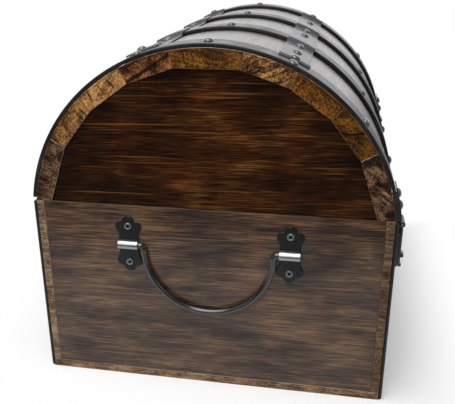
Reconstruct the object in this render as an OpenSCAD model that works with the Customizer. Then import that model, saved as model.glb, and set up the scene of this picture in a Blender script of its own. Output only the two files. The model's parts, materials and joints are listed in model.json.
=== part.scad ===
// Treasure chest: a box and a domed lid made of staves, with iron bands, straps,
// domed nails, two back hinges, two hasps with turn knobs and a bail handle on each end.
// X runs along the chest, the front faces -Y, and Z is up.
// The origin is on the floor, under the middle of the box.

/* [Chest] */
// Length of the wooden box and lid
chest_len = 370; // [300:1:600]
// Depth of the wooden box and lid, front to back
chest_depth = 310; // [220:1:420]
// Height of the box, floor to seam
box_h = 175; // [150:1:260]
// Thickness of the front and back boards
board_t = 7; // [6:0.5:12]
// Thickness of the bottom board
bottom_t = 8; // [6:0.5:14]
// Thickness of the end panels of the box
end_t = 10; // [8:0.5:14]

/* [Lid] */
// Rise of the dome above the seam
lid_rise = 136; // [100:1:150]
// Depth of a stave at its two edges
stave_t = 14.3; // [11:0.1:20]
// Arc covered by the wide stave at the top
top_stave_deg = 22; // [16:0.5:24]
// Arc covered by each stave beside it
side_stave_deg = 16.5; // [14:0.5:17.5]
// Thickness of the end panels of the lid
lid_end_t = 10; // [8:0.5:14]
// How far the lid's end panels sit back from the stave ends
lid_end_inset = 1.5; // [0.5:0.1:4]

/* [Bands and straps] */
// Number of bands over the lid, and of straps on each side of the box
band_count = 4; // [3:1:5]
// Width of a band
band_w = 25; // [20:0.5:32]
// Thickness of a lid band
band_t = 3.2; // [2:0.1:4]
// Thickness of a strap on the box
strap_t = 2.8; // [1.6:0.1:3.6]
// Gap left between the seam and a band's front end
band_front_gap = 1; // [0.6:0.1:2]
// Gap left between the seam and a band's back end
band_back_gap = 3; // [2:0.1:5]
// Rounding of a strap's foot
strap_foot_r = 2.5; // [1:0.1:2.6]
// Height of a strap's foot above the floor
strap_foot_gap = 0.5; // [0.2:0.1:2]
// Clearance under curved ironwork that is nailed on
seat = 0.25; // [0.1:0.05:0.4]

/* [Lengthwise straps on the dome] */
// Angle from the back, where the front strap lies on the dome
ridge_front_deg = 115; // [108:0.5:120]
// Angle from the back, where the back strap lies on the dome
ridge_back_deg = 69; // [66:0.5:72]
// Width of a strap
ridge_w = 27; // [20:0.5:30]
// Thickness of a strap
ridge_t = 1.5; // [1.2:0.1:3]
// Where each end of a strap lies, from the end of the chest
ridge_end = 17.5; // [15:0.5:18]
// How far a strap stays raised beyond a band's edge
ridge_margin = 4; // [3:0.5:6]

/* [Nails] */
// Diameter of a domed nail head
nail_d = 8; // [6:0.1:9]
// Height of a domed nail head
nail_h = 2.4; // [2:0.1:3.5]
// Diameter of a nail shank
shank_d = 2; // [1.4:0.1:2.6]
// Length of a nail shank in the wood of the lid
lid_shank = 9; // [6:0.5:10]
// Arc between the seam and the lowest nail on a band
nail_end_deg = 4.5; // [4:0.5:8]
// Diameter of a low nail head on the box straps
flat_nail_d = 7; // [5:0.1:8]
// Height of a low nail head on the box straps
flat_nail_h = 1.2; // [0.8:0.1:1.6]
// Length of a low nail's shank in the board
box_shank = 5; // [3:0.5:5.5]
// Height of the lowest and depth of the highest nail on a box strap
strap_nail_in = 16; // [14:1:22]

/* [Back hinges] */
// Width of a back hinge
hinge_w = 45; // [36:1:56]
// Height of each hinge leaf
leaf_h = 24; // [20:0.5:30]
// Thickness of a hinge leaf
leaf_t = 1.5; // [1:0.1:2]
// Radius of a hinge knuckle
knuckle_r = 3; // [2.6:0.1:4]
// Radius of a hinge pin
pin_r = 1.5; // [1:0.1:1.6]
// Width of the middle knuckle
mid_knuckle_w = 17; // [12:0.5:20]

/* [Hasps] */
// Width of a hasp
hasp_w = 18; // [16:0.5:20]
// Radius of a hasp knuckle
hasp_knuckle_r = 2.4; // [2.2:0.1:3]
// Radius of a hasp pin
hasp_pin_r = 1; // [0.8:0.05:1.2]
// How far the hasp pin lies under the seam
hasp_drop = 3.5; // [3:0.1:5]
// Height of the leaf above the seam
hasp_leaf_top = 28; // [24:0.5:32]
// Thickness of the leaf
hasp_leaf_t = 1.2; // [0.8:0.1:1.5]
// Thickness of the hanging tongue
tongue_t = 1.8; // [1.2:0.1:2.2]
// Length of the tongue below its pin
tongue_len = 40; // [36:0.5:46]
// Thickness of the keeper plate under the tongue
keeper_t = 1.8; // [1.2:0.1:2.2]
// Height of the keeper plate
keeper_h = 30; // [26:0.5:32]
// Distance of the turn knob below the hasp pin
knob_drop = 30; // [26:0.5:31]
// Length of the turn knob's bar
knob_len = 8.4; // [7:0.1:9]
// Width of the turn knob's bar
knob_w = 4; // [3.4:0.1:4.4]
// Height of the turn knob's bar
knob_t = 2.4; // [1.8:0.1:3]

/* [Bail handles] */
// Distance of the handle's axis below the seam
handle_drop = 36; // [32:1:50]
// Distance of each handle plate from the middle of the end
plate_y = 71; // [60:0.5:80]
// Width of a handle plate across its lobes
plate_w = 23.5; // [21:0.5:24.5]
// Height of a handle plate
plate_h = 53; // [50:0.5:58]
// Thickness of a handle plate
plate_t = 1.6; // [1.2:0.1:2]
// Radius of the lobes of a handle plate
lobe_r = 5.5; // [5:0.1:6]
// Width of the raised half tube round the rod, and of the plate beside it
loop_w = 18; // [15:0.5:20]
// Wall of the half tube
loop_wall = 1.5; // [1:0.1:2]
// Radius of the bail's rod
rod_r = 2.7; // [2.2:0.1:3]
// Radius of the bend where the rod turns into its plate
bail_bend_r = 4; // [3.5:0.5:5]
// Diameter of a handle screw's head
screw_head_d = 6.8; // [5.6:0.1:7.4]
// Height of a handle screw's head
screw_head_h = 1.5; // [1:0.1:2]
// Length of a handle screw in the wood
screw_len = 7; // [5:0.5:8]

/* [Fits] */
// Running clearance of a pin in its bore, all round
run_gap = 0.05; // [0.02:0.01:0.08]
// Gap between pieces that move past each other
move_gap = 0.3; // [0.2:0.05:0.4]

/* [Hidden] */
$fn = 48;
eps = 0.01;

wood = "#5a4636";
stave_wood = "#7a5a34";
iron = "#2b2b2c";
iron_bright = "#6e6f70";

// Dome: one arc through the two seam edges and the top
half_depth = chest_depth / 2;
dome_r = (half_depth * half_depth + lid_rise * lid_rise) / (2 * lid_rise);
dome_z = box_h + lid_rise - dome_r;
inner_r = dome_r - stave_t;
band_in_r = dome_r + seat;
band_out_r = band_in_r + band_t;
far_share = 1.3;
far_r = dome_r * far_share;

// Joints between the staves, as angles from the back, and the seam's own angle
side_staves = 3;
stave_count = 2 * side_staves + 3;
first_joint = 90 - top_stave_deg / 2 - side_staves * side_stave_deg;
joints = concat(
  [for (i = [0:side_staves]) first_joint + i * side_stave_deg],
  [for (i = [side_staves:-1:0]) 180 - first_joint - i * side_stave_deg]
);
inner_seam_deg = asin((box_h - dome_z) / inner_r);
outer_seam_deg = asin((box_h - dome_z) / dome_r);

// Bands stand at one pitch, the outer two flush with the ends of the chest
band_pitch = (chest_len - band_w) / (band_count - 1);
function band_x(i) = -chest_len / 2 + band_w / 2 + (i - 1) * band_pitch;
hasp_x = band_x(band_count);
bay_x = band_x(band_count) - band_pitch / 2;

// Nails on a band, from the back to the front. The dome straps take the places next to the
// top one, a hasp that of the lowest one in front, and an end band has one behind, not two.
nail_pitch_deg = (90 - outer_seam_deg - nail_end_deg) / 3;
function has_hasp(i) = i == 1 || i == band_count;
function band_nail_degs(i) = concat(
  [for (n = has_hasp(i) ? [2.5] : [3, 2]) 90 - n * nail_pitch_deg],
  [90, 90 + 2 * nail_pitch_deg],
  has_hasp(i) ? [] : [90 + 3 * nail_pitch_deg]
);

// Nails along a dome strap: its raised ends, the rims, each bay's middle and edges
ridge_degs = [ridge_back_deg, ridge_front_deg];
ridge_low_r = dome_r + seat;
ridge_high_r = band_out_r + seat;
ridge_nail_gap = 1;
ridge_nail_edge = band_w / 2 + ridge_margin + ridge_t + nail_d / 2 + ridge_nail_gap;
rim_nail_in = 6;
ridge_tip_gap = 0.5;
ridge_tip_nail = ridge_end + nail_d / 2 + ridge_tip_gap;
function bay_nails(i) = concat(
  i == 1 ? [] : [band_x(i) + ridge_nail_edge],
  [band_x(i) + band_pitch / 2],
  i == band_count - 1 ? [] : [band_x(i + 1) - ridge_nail_edge]
);
ridge_nail_x = [for (i = [1:band_count - 1]) for (x = bay_nails(i)) x];
ridge_tip_x = [for (s = [-1, 1]) s * (chest_len / 2 - ridge_tip_nail)];
rim_nail_x = [for (s = [-1, 1]) s * (chest_len / 2 - rim_nail_in)];

// A hole is cut a little deeper than its shank, and beyond the face that it starts from
hole_deep = 0.5;
hole_over = 6;
plate_hole = 1;
hole_reach_deg = 2;
nail_lift = 0.05;

// Low nails on the box straps, four to a strap; the top one is left out under a keeper
strap_nails = 4;
strap_top_gap = 1;
function strap_nail_z(k) = strap_nail_in + k * (box_h - 2 * strap_nail_in) / (strap_nails - 1);

// Back hinges: the axis lies on the seam, just behind the back board
hinge_y = half_depth + move_gap + knuckle_r;
leaf_nail_in = 7;
leaf_nail_x = hinge_w / 2 - leaf_nail_in;
leaf_nail_share = 0.62;
leaf_nail_z = leaf_h * leaf_nail_share;
leaf_top_gap = 1;
pin_over = 1;
pin_head_w = 1.2;
pin_head_over = 0.7;
leaf_nail_d = 5;
leaf_nail_h = 1;
lid_leaf_in_r = dome_r + seat;
lid_leaf_nail_deg = asin((box_h + leaf_nail_z - dome_z) / dome_r);

// Hasps
hasp_play = 0.1;
hasp_y = -(half_depth + strap_t + move_gap + hasp_play + hasp_knuckle_r);
hasp_z = box_h - hasp_drop;
hasp_leaf_in_r = band_out_r + seat;
hasp_mid_w = 8;
hasp_tab_top = 3;
hasp_leaf_low = box_h + hasp_tab_top;
hasp_tab_join = 0.2;
hasp_pin_over = 0.5;
tab_y = -sqrt(pow(band_out_r, 2) - pow(box_h + band_front_gap - dome_z, 2)) - hasp_play;
keeper_face = -(half_depth + strap_t + keeper_t);
tongue_back = keeper_face - move_gap;
tongue_face = tongue_back - tongue_t;
tongue_side_gap = 1;
tongue_w = hasp_w - 2 * tongue_side_gap;
tongue_tip_r = tongue_w / 2;
tongue_top_gap = 1;
tongue_neck = 3;
lip_less = 0.2;
lip_r = tongue_t - lip_less;
lip_w = 9;
slot_gap_x = 0.6;
slot_gap_z = 0.7;
slot_len = knob_len + 2 * slot_gap_x;
slot_w = knob_w + 2 * slot_gap_z;
knob_z = hasp_z - knob_drop;
stem_r = 1.5;
knob_gap = 0.4;
knob_back = tongue_face - knob_gap;
stem_len = -knob_back - half_depth;
keeper_drop = 6;
keeper_top = hasp_z - hasp_knuckle_r - keeper_drop;
rivet_r = 1.5;
rivet_in = 4;
rivet_pitch = 8;
rivet_z = [keeper_top - rivet_in, keeper_top - rivet_in - rivet_pitch];
hasp_nail_in = 7.2;
hasp_nail_pitch = 10.3;
hasp_top_nail_z = box_h + hasp_leaf_top - hasp_nail_in;
hasp_nail_z = [hasp_top_nail_z - hasp_nail_pitch, hasp_top_nail_z];
function hasp_nail_deg(z) = 180 - asin((z - dome_z) / hasp_leaf_in_r);

// Handles: the rod lies against the end panel, under the plates' half tubes
handle_z = box_h - handle_drop;
rod_off = rod_r + move_gap;
loop_in_r = rod_r + run_gap;
loop_out_r = loop_in_r + loop_wall;
side_lobe_y = plate_w / 2 - lobe_r;
top_lobe_z = plate_h / 2 - lobe_r;
lobe_step = 5;
side_lobe_z = top_lobe_z - lobe_step;
screw_drop = 3.8;
screw_z = top_lobe_z - screw_drop;
screw_r = 1.2;
screw_socket_d = 2.6;
screw_rim_share = 0.4;
screw_top_share = 0.66;
screw_floor_share = 0.3;
bail_side_gap = 1;
bail_pin_end = plate_y + loop_w / 2;
bail_pin_start = plate_y - loop_w / 2 - bail_side_gap;
bail_r = bail_pin_start - bail_bend_r;
bail_centre_z = handle_z - bail_bend_r;

function dome_pt(r, deg) = [r * cos(deg), dome_z + r * sin(deg)];

// Carries a (y, z) outline along X, between x0 and x0 + length
module along_x(x0, length) {
  translate([x0, 0, 0]) rotate([90, 0, 90]) linear_extrude(height = length) children();
}

// A cylinder along X
module rod_x(x0, length, y, z, r, facets = 48) {
  translate([x0, y, z]) rotate([0, 90, 0]) cylinder(r = r, h = length, $fn = facets);
}

// Places children on the dome, their Z pointing out of it
module on_dome(x, deg, r) {
  translate([x, 0, dome_z]) rotate([deg, 0, 0]) translate([0, r, 0]) rotate([-90, 0, 0])
    children();
}

// Places children on the front (side -1) or back (side 1), their Z pointing out
module on_side(side, x, z, depth) {
  translate([x, side * depth, z]) rotate([-side * 90, 0, 0]) children();
}

// A nail: a head cut from a sphere on a round shank
module nail(head_d, head_h, shank) {
  ball_r = (head_d * head_d / 4 + head_h * head_h) / (2 * head_h);
  intersection() {
    translate([0, 0, head_h - ball_r]) sphere(r = ball_r, $fn = 48);
    cylinder(d = head_d + 1, h = head_h + 1);
  }
  translate([0, 0, -shank]) cylinder(d = shank_d, h = shank + eps, $fn = 24);
}

// The hole that a pin of radius r needs, from its seat down
module pin_hole(r, depth) {
  translate([0, 0, -depth - hole_deep])
    cylinder(r = r + run_gap, h = depth + hole_over, $fn = 24);
}

module nail_hole(depth) {
  pin_hole(shank_d / 2, depth);
}

// Holes for the nails on band i, for those between two angles
module band_nail_holes(i, from_deg, to_deg) {
  for (deg = band_nail_degs(i))
    if (deg > from_deg && deg < to_deg) on_dome(band_x(i), deg, band_out_r)
      nail_hole(band_t + seat + lid_shank);
}

module ridge_nail_holes(deg) {
  for (x = concat(ridge_nail_x, ridge_tip_x, rim_nail_x))
    on_dome(x, deg, band_out_r) nail_hole(band_t + seat + lid_shank + ridge_t);
}

module hasp_nail_holes(x) {
  for (z = hasp_nail_z)
    on_dome(x, hasp_nail_deg(z), band_out_r) nail_hole(band_t + seat + lid_shank);
}

module lid_leaf_nail_holes(x) {
  for (s = [-1, 1])
    on_dome(x + s * leaf_nail_x, lid_leaf_nail_deg, lid_leaf_in_r) nail_hole(box_shank + seat);
}

module strap_nail_holes(side, i, depth) {
  for (k = [0:strap_nails - 1])
    if (!under_keeper(side, i, k)) on_side(side, band_x(i), strap_nail_z(k), half_depth)
      nail_hole(depth);
}

function under_keeper(side, i, k) = side < 0 && has_hasp(i) && k == strap_nails - 1;

// Front board, and back board with side = 1
module long_board(side) {
  color(wood) difference() {
    translate([-chest_len / 2, side < 0 ? -half_depth : half_depth - board_t, bottom_t])
      cube([chest_len, board_t, box_h - bottom_t]);
    for (i = [1:band_count]) strap_nail_holes(side, i, box_shank);
    if (side < 0) for (s = [-1, 1]) for (z = rivet_z)
      on_side(side, s * hasp_x, z, half_depth) pin_hole(rivet_r, box_shank);
    if (side > 0) for (s = [-1, 1]) for (t = [-1, 1])
      on_side(side, s * bay_x + t * leaf_nail_x, box_h - leaf_nail_z, half_depth)
        nail_hole(box_shank);
  }
}

module bottom_board() {
  color(wood) translate([-chest_len / 2, -half_depth, 0])
    cube([chest_len, chest_depth, bottom_t]);
}

// End panel of the box, between the boards, with the handle's screw holes
module box_end_panel(side) {
  color(wood) difference() {
    translate([side < 0 ? -chest_len / 2 : chest_len / 2 - end_t, -half_depth + board_t, bottom_t])
      cube([end_t, chest_depth - 2 * board_t, box_h - bottom_t]);
    for (y = [-plate_y, plate_y]) for (z = [-screw_z, screw_z])
      on_end(side, y, handle_z + z) pin_hole(screw_r, screw_len);
  }
}

// Places children on an end of the chest, their Z pointing out
module on_end(side, y, z) {
  translate([side * chest_len / 2, y, z]) rotate([0, side * 90, 0]) children();
}

// One stave: a length of the dome's ring between two joints, flat inside
module stave(k) {
  right = k == stave_count;
  left = k == 1;
  from_deg = left ? inner_seam_deg : joints[k - 2];
  to_deg = right ? 180 - inner_seam_deg : joints[k - 1];
  near_from = from_deg - hole_reach_deg;
  near_to = to_deg + hole_reach_deg;
  outline = concat(
    [dome_pt(inner_r, from_deg)],
    left ? [[far_r, box_h]] : [dome_pt(far_r, from_deg)],
    right ? [[-far_r, box_h]] : [dome_pt(far_r, to_deg)],
    [dome_pt(inner_r, to_deg)]
  );
  color(stave_wood) difference() {
    intersection() {
      rod_x(-chest_len / 2, chest_len, 0, dome_z, dome_r, 180);
      along_x(-chest_len / 2 - 1, chest_len + 2) polygon(outline);
    }
    for (i = [1:band_count]) band_nail_holes(i, near_from, near_to);
    for (deg = ridge_degs) if (deg > near_from && deg < near_to) ridge_nail_holes(deg);
    if (right) for (s = [-1, 1]) hasp_nail_holes(s * hasp_x);
    if (left) for (s = [-1, 1]) lid_leaf_nail_holes(s * bay_x);
  }
}

// End panel of the lid: fills the staves' inner faces, set back a little
module lid_end_panel(side) {
  outline = [for (deg = concat([inner_seam_deg], joints, [180 - inner_seam_deg]))
    dome_pt(inner_r, deg)];
  x0 = side < 0 ? -chest_len / 2 + lid_end_inset : chest_len / 2 - lid_end_inset - lid_end_t;
  color(wood) along_x(x0, lid_end_t) polygon(outline);
}

// Everything in front of or behind the dome's middle that lies above a height
module above(front_z, back_z) {
  size = 2 * far_r;
  translate([-size / 2, -size, front_z]) cube([size, size, size]);
  translate([-size / 2, 0, back_z]) cube([size, size, size]);
}

module lid_band(i) {
  x0 = band_x(i) - band_w / 2;
  color(iron) difference() {
    intersection() {
      difference() {
        rod_x(x0, band_w, 0, dome_z, band_out_r, 180);
        rod_x(x0 - 1, band_w + 2, 0, dome_z, band_in_r, 180);
      }
      above(box_h + band_front_gap, box_h + band_back_gap);
    }
    band_nail_holes(i, 0, 180);
    if (has_hasp(i)) {
      hasp_nail_holes(band_x(i));
      for (deg = ridge_degs) ridge_nail_holes(deg);
    }
  }
}

// Lengthwise strap: low between the bands and raised over each one
module dome_strap(deg) {
  edge = band_w / 2 + ridge_margin;
  x_end = chest_len / 2 - ridge_end;
  top = [for (i = [1:band_count - 1]) for (p = [
    [band_x(i) + edge + ridge_t, ridge_high_r + ridge_t],
    [band_x(i) + edge + ridge_t, ridge_low_r + ridge_t],
    [band_x(i + 1) - edge - ridge_t, ridge_low_r + ridge_t],
    [band_x(i + 1) - edge - ridge_t, ridge_high_r + ridge_t]
  ]) p];
  under = [for (i = [band_count - 1:-1:1]) for (p = [
    [band_x(i + 1) - edge, ridge_high_r],
    [band_x(i + 1) - edge, ridge_low_r],
    [band_x(i) + edge, ridge_low_r],
    [band_x(i) + edge, ridge_high_r]
  ]) p];
  outline = concat(
    [[-x_end, ridge_high_r + ridge_t]], top, [[x_end, ridge_high_r + ridge_t]],
    [[x_end, ridge_high_r]], under, [[-x_end, ridge_high_r]]
  );
  half_deg = ridge_w / 2 / dome_r * 180 / PI;
  color(iron) difference() {
    translate([0, 0, dome_z]) rotate([deg - half_deg, 0, 0]) rotate([0, 90, 0])
      rotate([0, 0, 90]) rotate_extrude(angle = 2 * half_deg, $fn = 360)
        polygon([for (p = outline) [p[1], p[0]]]);
    ridge_nail_holes(deg);
  }
}

// A strap on the front (side -1) or back (side 1) of the box, its foot rounded
module box_strap(side, i) {
  face = half_depth + strap_t;
  foot = strap_foot_r;
  outline = [[half_depth, strap_foot_gap], [face - foot, strap_foot_gap],
    [face - foot, strap_foot_gap + foot], [face, strap_foot_gap + foot],
    [face, box_h - strap_top_gap], [half_depth, box_h - strap_top_gap]];
  color(iron) difference() {
    mirror([0, side < 0 ? 1 : 0, 0]) along_x(band_x(i) - band_w / 2, band_w) {
      polygon(outline);
      intersection() {
        translate([face - foot, strap_foot_gap + foot]) circle(r = foot);
        translate([half_depth, strap_foot_gap]) square([2 * foot, foot + eps]);
      }
    }
    strap_nail_holes(side, i, box_shank);
    if (side < 0 && has_hasp(i)) {
      for (z = rivet_z) on_side(side, band_x(i), z, half_depth) pin_hole(rivet_r, plate_hole);
      on_side(side, band_x(i), knob_z, half_depth) pin_hole(stem_r, plate_hole);
    }
  }
}

// Box leaf of a back hinge: a plate with a knuckle at each side of the middle one
module hinge_box_leaf(x) {
  side_w = (hinge_w - mid_knuckle_w) / 2 - move_gap;
  color(iron) difference() {
    union() {
      translate([x - hinge_w / 2, half_depth, box_h - leaf_h])
        cube([hinge_w, leaf_t, leaf_h - leaf_top_gap]);
      for (x0 = [x - hinge_w / 2, x + hinge_w / 2 - side_w])
        rod_x(x0, side_w, hinge_y, box_h, knuckle_r);
    }
    translate([x - mid_knuckle_w / 2 - move_gap, half_depth - 1, box_h - knuckle_r - move_gap])
      cube([mid_knuckle_w + 2 * move_gap, 3 * knuckle_r, 3 * knuckle_r]);
    rod_x(x - hinge_w, 2 * hinge_w, hinge_y, box_h, pin_r + run_gap);
    for (t = [-1, 1]) on_side(1, x + t * leaf_nail_x, box_h - leaf_nail_z, half_depth)
      nail_hole(plate_hole);
  }
}

// Lid leaf: a plate bent to the dome, with the middle knuckle
module hinge_lid_leaf(x) {
  tab_z = box_h + leaf_t;
  color(iron) difference() {
    union() {
      intersection() {
        difference() {
          rod_x(x - hinge_w / 2, hinge_w, 0, dome_z, lid_leaf_in_r + leaf_t, 180);
          rod_x(x - hinge_w, 2 * hinge_w, 0, dome_z, lid_leaf_in_r, 180);
        }
        union() {
          translate([x - hinge_w / 2, 0, box_h + knuckle_r + move_gap])
            cube([hinge_w, 2 * half_depth, leaf_h - knuckle_r]);
          translate([x - mid_knuckle_w / 2, 0, tab_z])
            cube([mid_knuckle_w, 2 * half_depth, leaf_h / 2]);
        }
      }
      rod_x(x - mid_knuckle_w / 2, mid_knuckle_w, hinge_y, box_h, knuckle_r);
    }
    rod_x(x - hinge_w, 2 * hinge_w, hinge_y, box_h, pin_r + run_gap);
    lid_leaf_nail_holes(x);
  }
}

// Hinge pin with a small head at each end
module hinge_pin(x) {
  color(iron_bright) {
    rod_x(x - hinge_w / 2 - pin_over, hinge_w + 2 * pin_over, hinge_y, box_h, pin_r);
    for (x0 = [x - hinge_w / 2 - move_gap - pin_head_w, x + hinge_w / 2 + move_gap])
      rod_x(x0, pin_head_w, hinge_y, box_h, pin_r + pin_head_over);
  }
}

// Lid half of a hasp: a plate over the band's end, and the two outer knuckles
module hasp_leaf(x) {
  side_w = (hasp_w - hasp_mid_w) / 2 - move_gap;
  color(iron) difference() {
    union() {
      intersection() {
        difference() {
          rod_x(x - hasp_w / 2, hasp_w, 0, dome_z, hasp_leaf_in_r + hasp_leaf_t, 180);
          rod_x(x - hasp_w, 2 * hasp_w, 0, dome_z, hasp_leaf_in_r, 180);
        }
        translate([x - hasp_w / 2, -2 * half_depth, hasp_leaf_low])
          cube([hasp_w, 2 * half_depth, hasp_leaf_top - hasp_tab_top]);
      }
      for (x0 = [x - hasp_w / 2, x + hasp_w / 2 - side_w]) {
        rod_x(x0, side_w, hasp_y, hasp_z, hasp_knuckle_r);
        translate([x0, tab_y - hasp_leaf_t, hasp_z])
          cube([side_w, hasp_leaf_t, hasp_leaf_low - hasp_z + hasp_tab_join]);
      }
    }
    rod_x(x - hasp_w, 2 * hasp_w, hasp_y, hasp_z, hasp_pin_r + run_gap);
    for (z = hasp_nail_z) on_dome(x, hasp_nail_deg(z), hasp_leaf_in_r) nail_hole(plate_hole);
  }
}

// Hanging half of a hasp: a tongue with a slot for the knob and a lip to lift it by
module hasp_tongue(x) {
  mid_w = hasp_mid_w;
  tip_z = hasp_z - tongue_len + tongue_tip_r;
  color(iron) difference() {
    union() {
      rod_x(x - mid_w / 2, mid_w, hasp_y, hasp_z, hasp_knuckle_r);
      translate([x - mid_w / 2, tongue_face, hasp_z - hasp_knuckle_r - tongue_neck])
        cube([mid_w, tongue_t, hasp_knuckle_r + tongue_neck]);
      translate([x - tongue_w / 2, tongue_face, tip_z])
        cube([tongue_w, tongue_t, hasp_z - hasp_knuckle_r - tongue_top_gap - tip_z]);
      translate([x, tongue_back, tip_z]) rotate([90, 0, 0])
        cylinder(r = tongue_tip_r, h = tongue_t);
      rod_x(x - lip_w / 2, lip_w, tongue_face, hasp_z - tongue_len + lip_r, lip_r);
    }
    rod_x(x - hasp_w, 2 * hasp_w, hasp_y, hasp_z, hasp_pin_r + run_gap);
    translate([x - slot_len / 2, tongue_face - 1, knob_z - slot_w / 2])
      cube([slot_len, tongue_t + 2, slot_w]);
  }
}

module hasp_pin(x) {
  color(iron_bright)
    rod_x(x - hasp_w / 2 - hasp_pin_over, hasp_w + 2 * hasp_pin_over, hasp_y, hasp_z, hasp_pin_r);
}

// Plate on the end strap, behind the tongue: it carries the turn knob
module keeper_plate(x) {
  color(iron) difference() {
    translate([x - hasp_w / 2, keeper_face, keeper_top - keeper_h])
      cube([hasp_w, keeper_t, keeper_h]);
    for (z = rivet_z) on_side(-1, x, z, half_depth) pin_hole(rivet_r, plate_hole);
    on_side(-1, x, knob_z, half_depth) pin_hole(stem_r, plate_hole);
  }
}

// Knob that turns a quarter: its bar lies in line with the slot at rest
module turn_knob(x) {
  bar_x = (knob_len - knob_w) / 2;
  color(iron) translate([x, knob_back, knob_z]) rotate([90, 0, 0]) {
    translate([0, 0, -stem_len]) cylinder(r = stem_r, h = stem_len + eps);
    translate([-bar_x, -knob_w / 2, 0]) cube([2 * bar_x, knob_w, knob_t]);
    for (s = [-1, 1]) translate([s * bar_x, 0, 0]) cylinder(d = knob_w, h = knob_t);
  }
}

// Outline of a handle plate: a flat middle and three lobes at each end
module plate_outline() {
  square([loop_w, 2 * side_lobe_z], center = true);
  for (s = [-1, 1]) {
    translate([0, s * top_lobe_z]) circle(r = lobe_r);
    for (t = [-1, 1]) translate([t * side_lobe_y, s * side_lobe_z]) circle(r = lobe_r);
  }
}

// Handle plate on an end, with its raised half tube across the middle
module handle_plate(side, y) {
  color(iron) difference() {
    intersection() {
      on_end(side, y, handle_z) rotate([0, 0, 90]) union() {
        linear_extrude(height = plate_t) plate_outline();
        translate([-loop_w / 2, 0, rod_off]) rotate([0, 90, 0])
          cylinder(r = loop_out_r, h = loop_w);
      }
      on_end(side, y, handle_z) translate([-plate_h, -plate_h, 0])
        cube([2 * plate_h, 2 * plate_h, plate_h]);
    }
    on_end(side, y, handle_z) rotate([0, 0, 90]) translate([-plate_w, 0, rod_off])
      rotate([0, 90, 0]) cylinder(r = loop_in_r, h = 2 * plate_w);
    for (z = [-screw_z, screw_z]) on_end(side, y, handle_z + z) pin_hole(screw_r, plate_hole);
  }
}

// Bail: a half ring of rod, bent outwards at each end into its plate
module bail(side) {
  color(iron) translate([side * (chest_len / 2 + rod_off), 0, 0]) {
    translate([0, 0, bail_centre_z]) rotate([0, 90, 0]) rotate([0, 0, -90])
      rotate_extrude(angle = 180, $fn = 120) translate([bail_r, 0]) circle(r = rod_r, $fn = 32);
    for (s = [-1, 1]) {
      translate([0, s * bail_pin_start, bail_centre_z]) rotate([0, 90, 0])
        rotate([0, 0, s > 0 ? 180 : 90])
          rotate_extrude(angle = 90, $fn = 64) translate([bail_bend_r, 0]) circle(r = rod_r, $fn = 32);
      translate([0, s > 0 ? bail_pin_start : -bail_pin_end, handle_z]) rotate([-90, 0, 0])
        cylinder(r = rod_r, h = bail_pin_end - bail_pin_start, $fn = 32);
    }
  }
}

module lid_band_nails() {
  color(iron) for (i = [1:band_count]) for (deg = band_nail_degs(i))
    on_dome(band_x(i), deg, band_out_r + nail_lift) nail(nail_d, nail_h, band_t + seat + lid_shank);
}

module dome_strap_nails() {
  color(iron) for (deg = ridge_degs) {
    for (x = ridge_nail_x) on_dome(x, deg, ridge_low_r + ridge_t)
      nail(nail_d, nail_h, ridge_t + seat + lid_shank);
    for (x = ridge_tip_x) on_dome(x, deg, ridge_high_r + ridge_t)
      nail(nail_d, nail_h, ridge_t + band_t + seat + lid_shank);
    for (x = rim_nail_x) on_dome(x, deg, band_out_r)
      nail(nail_d, nail_h, band_t + seat + lid_shank);
  }
}

module box_strap_nails() {
  color(iron) for (side = [-1, 1]) for (i = [1:band_count]) for (k = [0:strap_nails - 1])
    if (!under_keeper(side, i, k))
      on_side(side, band_x(i), strap_nail_z(k), half_depth + strap_t)
        nail(flat_nail_d, flat_nail_h, strap_t + box_shank);
}

module hasp_nails() {
  color(iron) for (s = [-1, 1]) for (z = hasp_nail_z)
    on_dome(s * hasp_x, hasp_nail_deg(z), hasp_leaf_in_r + hasp_leaf_t)
      nail(nail_d, nail_h, hasp_leaf_t + seat + band_t + lid_shank);
}

// Rivets that hold the keeper plates, flush with them
module keeper_rivets() {
  color(iron) for (s = [-1, 1]) for (z = rivet_z)
    on_side(-1, s * hasp_x, z, half_depth - box_shank)
      cylinder(r = rivet_r, h = box_shank + strap_t + keeper_t, $fn = 24);
}

module hinge_lid_nails() {
  color(iron) for (s = [-1, 1]) for (t = [-1, 1])
    on_dome(s * bay_x + t * leaf_nail_x, lid_leaf_nail_deg, lid_leaf_in_r + leaf_t)
      nail(leaf_nail_d, leaf_nail_h, leaf_t + box_shank);
}

module hinge_box_nails() {
  color(iron) for (s = [-1, 1]) for (t = [-1, 1])
    on_side(1, s * bay_x + t * leaf_nail_x, box_h - leaf_nail_z, half_depth + leaf_t)
      nail(leaf_nail_d, leaf_nail_h, leaf_t + box_shank);
}

// Handle screws: round heads with a socket, on a straight shank
module handle_screws() {
  rim_h = screw_head_h * screw_rim_share;
  color(iron_bright) for (side = [-1, 1]) for (y = [-plate_y, plate_y])
    for (z = [-screw_z, screw_z]) on_end(side, y, handle_z + z) difference() {
      union() {
        translate([0, 0, plate_t]) cylinder(d = screw_head_d, h = rim_h);
        translate([0, 0, plate_t + rim_h])
          cylinder(d1 = screw_head_d, d2 = screw_head_d * screw_top_share, h = screw_head_h - rim_h);
        translate([0, 0, -screw_len]) cylinder(r = screw_r, h = screw_len + plate_t + eps);
      }
      translate([0, 0, plate_t + screw_head_h * screw_floor_share])
        cylinder(d = screw_socket_d, h = screw_head_h);
    }
}

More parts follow.
